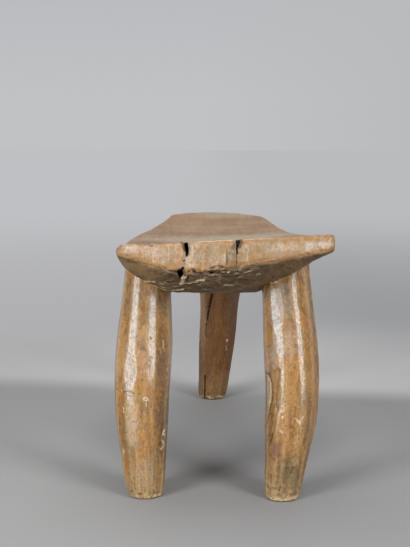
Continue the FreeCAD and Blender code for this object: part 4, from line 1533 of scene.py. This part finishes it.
@dataclass(frozen=True)
class FloorFinish:
    """Painted studio board, flat, matt and lightly scuffed, whose colour turns to a pale backdrop
    further off.

    Near the stool it is a mid grey, darker to the right as painted light falloff, and it turns
    pale behind a soft edge, except straight behind the stool, where a painted shadow keeps it
    darker. Far away it shows its colour by itself, because no lamp reaches there, darker low
    on the right as a painted shadow.
    """

    near: str = "#a4a4a4"
    # darker to the right near the stool: painted light falloff
    near_right: str = "#98989a"
    behind: str = "#cbcbcc"
    scuff: str = "#b9b9b9"
    low: str = "#b0b0b2"
    # darker to the right low on the backdrop: painted shadow
    low_right: str = "#999a9c"
    horizon: str = "#bfc0c3"
    # a little darker to the right at the horizon: painted light falloff
    horizon_right: str = "#babbbc"
    # how much of the paler floor is left straight behind the stool, where a painted shadow lies;
    # dull gives how far from the middle it reaches
    fold_behind_stool: float = 0.6
    fold: Pair = (0.185, 0.285)
    dull: Pair = (0.05, 0.16)
    fade: Pair = (0.45, 0.9)
    rise: Pair = (0.7, 3.2)

    def material(self) -> bpy.types.Material:
        """Build the material.

        Returns:
            The finished material.
        """
        material, tree, place = start_material("painted_board")
        axes = add_node(tree, "ShaderNodeSeparateXYZ", {0: place}).outputs
        cloud = Grain((150, 70, 70), 4, 0.6, 0.5, 0.35, 0.7).build(tree, place)
        dust = Grain((3, 3, 3), 2, 0.7, 0, 0.68, 0.76).build(tree, place)
        away = add_node(tree, "ShaderNodeVectorMath", {0: place}, operation="LENGTH").outputs[1]
        slant = add_node(
            tree, "ShaderNodeMath", {0: axes["X"], 1: 0.15, 2: axes["Y"]}, operation="MULTIPLY_ADD"
        ).outputs[0]
        aside = add_node(tree, "ShaderNodeMath", {0: axes["X"]}, operation="ABSOLUTE").outputs[0]
        spans = {
            "right": (axes["X"], -0.25, 0.35),
            "behind": (slant, *self.fold),
            "aside": (aside, *self.dull),
            "far": (away, *self.fade),
            "up": (away, *self.rise),
        }
        share = {
            name: add_node(
                tree,
                "ShaderNodeMapRange",
                {"Value": value, "From Min": begin, "From Max": end},
                interpolation_type="SMOOTHSTEP",
            ).outputs[0]
            for name, (value, begin, end) in spans.items()
        }
        # painted shadow straight behind the stool, fading out to the sides
        fold_with_painted_shadow = add_node(
            tree,
            "ShaderNodeMix",
            {0: share["aside"], 2: self.fold_behind_stool, 3: 1.0},
        ).outputs[0]
        paler, amount = (
            add_node(tree, "ShaderNodeMath", {0: one, 1: other}, operation="MULTIPLY").outputs[0]
            for one, other in ((share["behind"], fold_with_painted_shadow), (share["far"], seen_directly(tree)))
        )
        board = lay_over(
            tree,
            linear(self.near),
            (
                (self.near_right, share["right"], 1.0),
                (self.behind, paler, 1.0),
                (self.scuff, dust, 1.0),
            ),
        )
        rough = add_node(tree, "ShaderNodeMix", {0: cloud, 2: 0.66, 3: 0.72}).outputs[0]
        painted = add_node(
            tree,
            "ShaderNodeBsdfPrincipled",
            {"Base Color": board, "Roughness": rough, "Specular IOR Level": 0.3},
        )
        backdrop, above = (
            lay_over(tree, linear(left), ((right, share["right"], 1.0),))
            for left, right in ((self.low, self.low_right), (self.horizon, self.horizon_right))
        )
        backdrop = lay_over(tree, backdrop, ((above, share["up"], 1.0),))
        pale = add_node(tree, "ShaderNodeEmission", {"Color": backdrop})
        mixed = add_node(
            tree, "ShaderNodeMixShader", {0: amount, 1: painted.outputs[0], 2: pale.outputs[0]}
        )
        add_node(tree, "ShaderNodeOutputMaterial", {"Surface": mixed.outputs[0]})
        return material


def seen_directly(tree: Tree) -> Socket:
    """1 for what the camera sees, also in a gloss or through glass, and 0 for other light."""
    path = add_node(tree, "ShaderNodeLightPath").outputs
    seen = path["Is Camera Ray"]
    for other in ("Is Glossy Ray", "Is Transmission Ray"):
        seen = add_node(
            tree, "ShaderNodeMath", {0: seen, 1: path[other]}, operation="MAXIMUM"
        ).outputs[0]
    return seen


@dataclass
class Studio:
    """Floor, soft lamps, plain background and the camera."""

    floor_radius: float = 12.0
    camera_place: Point = (-0.016, -1.2675, 0.374)
    camera_pitch: float = 8.0
    lens: float = 72.39
    lamps: tuple[tuple[str, Point, Pair, float], ...] = (
        ("overhead", (0.0, 0.15, 1.75), (0.9, 0.9), 8.5),
        ("left_softbox", (-1.32, -1.48, 0.82), (0.75, 1.25), 29.5),
        ("right_softbox", (1.27, -1.50, 0.88), (0.66, 1.15), 25.5),
    )
    lamps_aim: Point = (0.0, -0.1, 0.17)
    ambient: float = 0.27
    horizon: str = "#c1c2c4"
    zenith: str = "#b9babe"
    # seen sky darker to the right: painted light falloff
    right: str = "#b9babb"

    def make_floor(self) -> None:
        """Round floor with its board finish."""
        bm = bmesh.new()
        bmesh.ops.create_circle(bm, cap_ends=True, segments=96, radius=self.floor_radius)
        mesh = bpy.data.meshes.new("floor")
        bm.to_mesh(mesh)
        bm.free()
        mesh.materials.append(FloorFinish().material())
        link("floor", mesh)

    def make_lamp(self, name: str, place: Point, size: Pair, power: float) -> None:
        """Softbox that faces the stool.

        Args:
            name: the lamp's name.
            place: its centre, in metres.
            size: width and height, in metres.
            power: in watts.
        """
        lamp = bpy.data.lights.new(name, "AREA")
        lamp.shape = "RECTANGLE"
        lamp.size, lamp.size_y = size
        lamp.energy = power
        obj = bpy.data.objects.new(name, lamp)
        obj.location = place
        aim = Vector(self.lamps_aim) - obj.location
        obj.rotation_euler = aim.to_track_quat("-Z", "Y").to_euler()
        bpy.context.scene.collection.objects.link(obj)

    def make_world(self) -> None:
        """Even light all round, seen as a pale grey that is a little darker higher up, and darker
        to the right as painted light falloff.
        """
        world = bpy.data.worlds.new("studio")
        bpy.context.scene.world = world
        world.use_nodes = True
        tree = world.node_tree
        tree.nodes.clear()
        direction = add_node(tree, "ShaderNodeTexCoord").outputs["Generated"]
        axes = add_node(tree, "ShaderNodeSeparateXYZ", {0: direction}).outputs
        sky = linear(self.horizon)
        for colour, axis, begin, end in (
            (self.zenith, "Z", 0.02, 0.12),
            (self.right, "X", 0.0, 0.2),
        ):
            span = {"Value": axes[axis], "From Min": begin, "From Max": end}
            share = add_node(tree, "ShaderNodeMapRange", span).outputs[0]
            sky = lay_over(tree, sky, ((colour, share, 1.0),))
        light = add_node(
            tree, "ShaderNodeBackground", {"Color": (1.0, 1.0, 1.0, 1.0), "Strength": self.ambient}
        )
        view = add_node(tree, "ShaderNodeBackground", {"Color": sky, "Strength": 1.0})
        mixed = add_node(
            tree,
            "ShaderNodeMixShader",
            {0: seen_directly(tree), 1: light.outputs[0], 2: view.outputs[0]},
        )
        add_node(tree, "ShaderNodeOutputWorld", {"Surface": mixed.outputs[0]})

    def make_camera(self) -> None:
        """Camera at the photograph's viewing angle."""
        data = bpy.data.cameras.new("camera")
        data.sensor_width = 36.0
        data.lens = self.lens
        camera = bpy.data.objects.new("camera", data)
        camera.location = self.camera_place
        camera.rotation_euler = (math.radians(90.0 - self.camera_pitch), 0.0, 0.0)
        bpy.context.scene.collection.objects.link(camera)
        bpy.context.scene.camera = camera

    def build(self) -> None:
        """Set the whole stage."""
        self.make_camera()
        self.make_floor()
        for lamp in self.lamps:
            self.make_lamp(*lamp)
        self.make_world()
        bpy.context.scene.view_settings.view_transform = "Standard"
        log.info("studio set")


def main() -> None:
    """Build the stage and the stool."""
    Studio().build()
    make_seat().build()
    for leg in make_legs():
        leg.build()
    log.info("boxes noted")


if __name__ == "__main__":
    logging.basicConfig(level=logging.INFO)
    main()
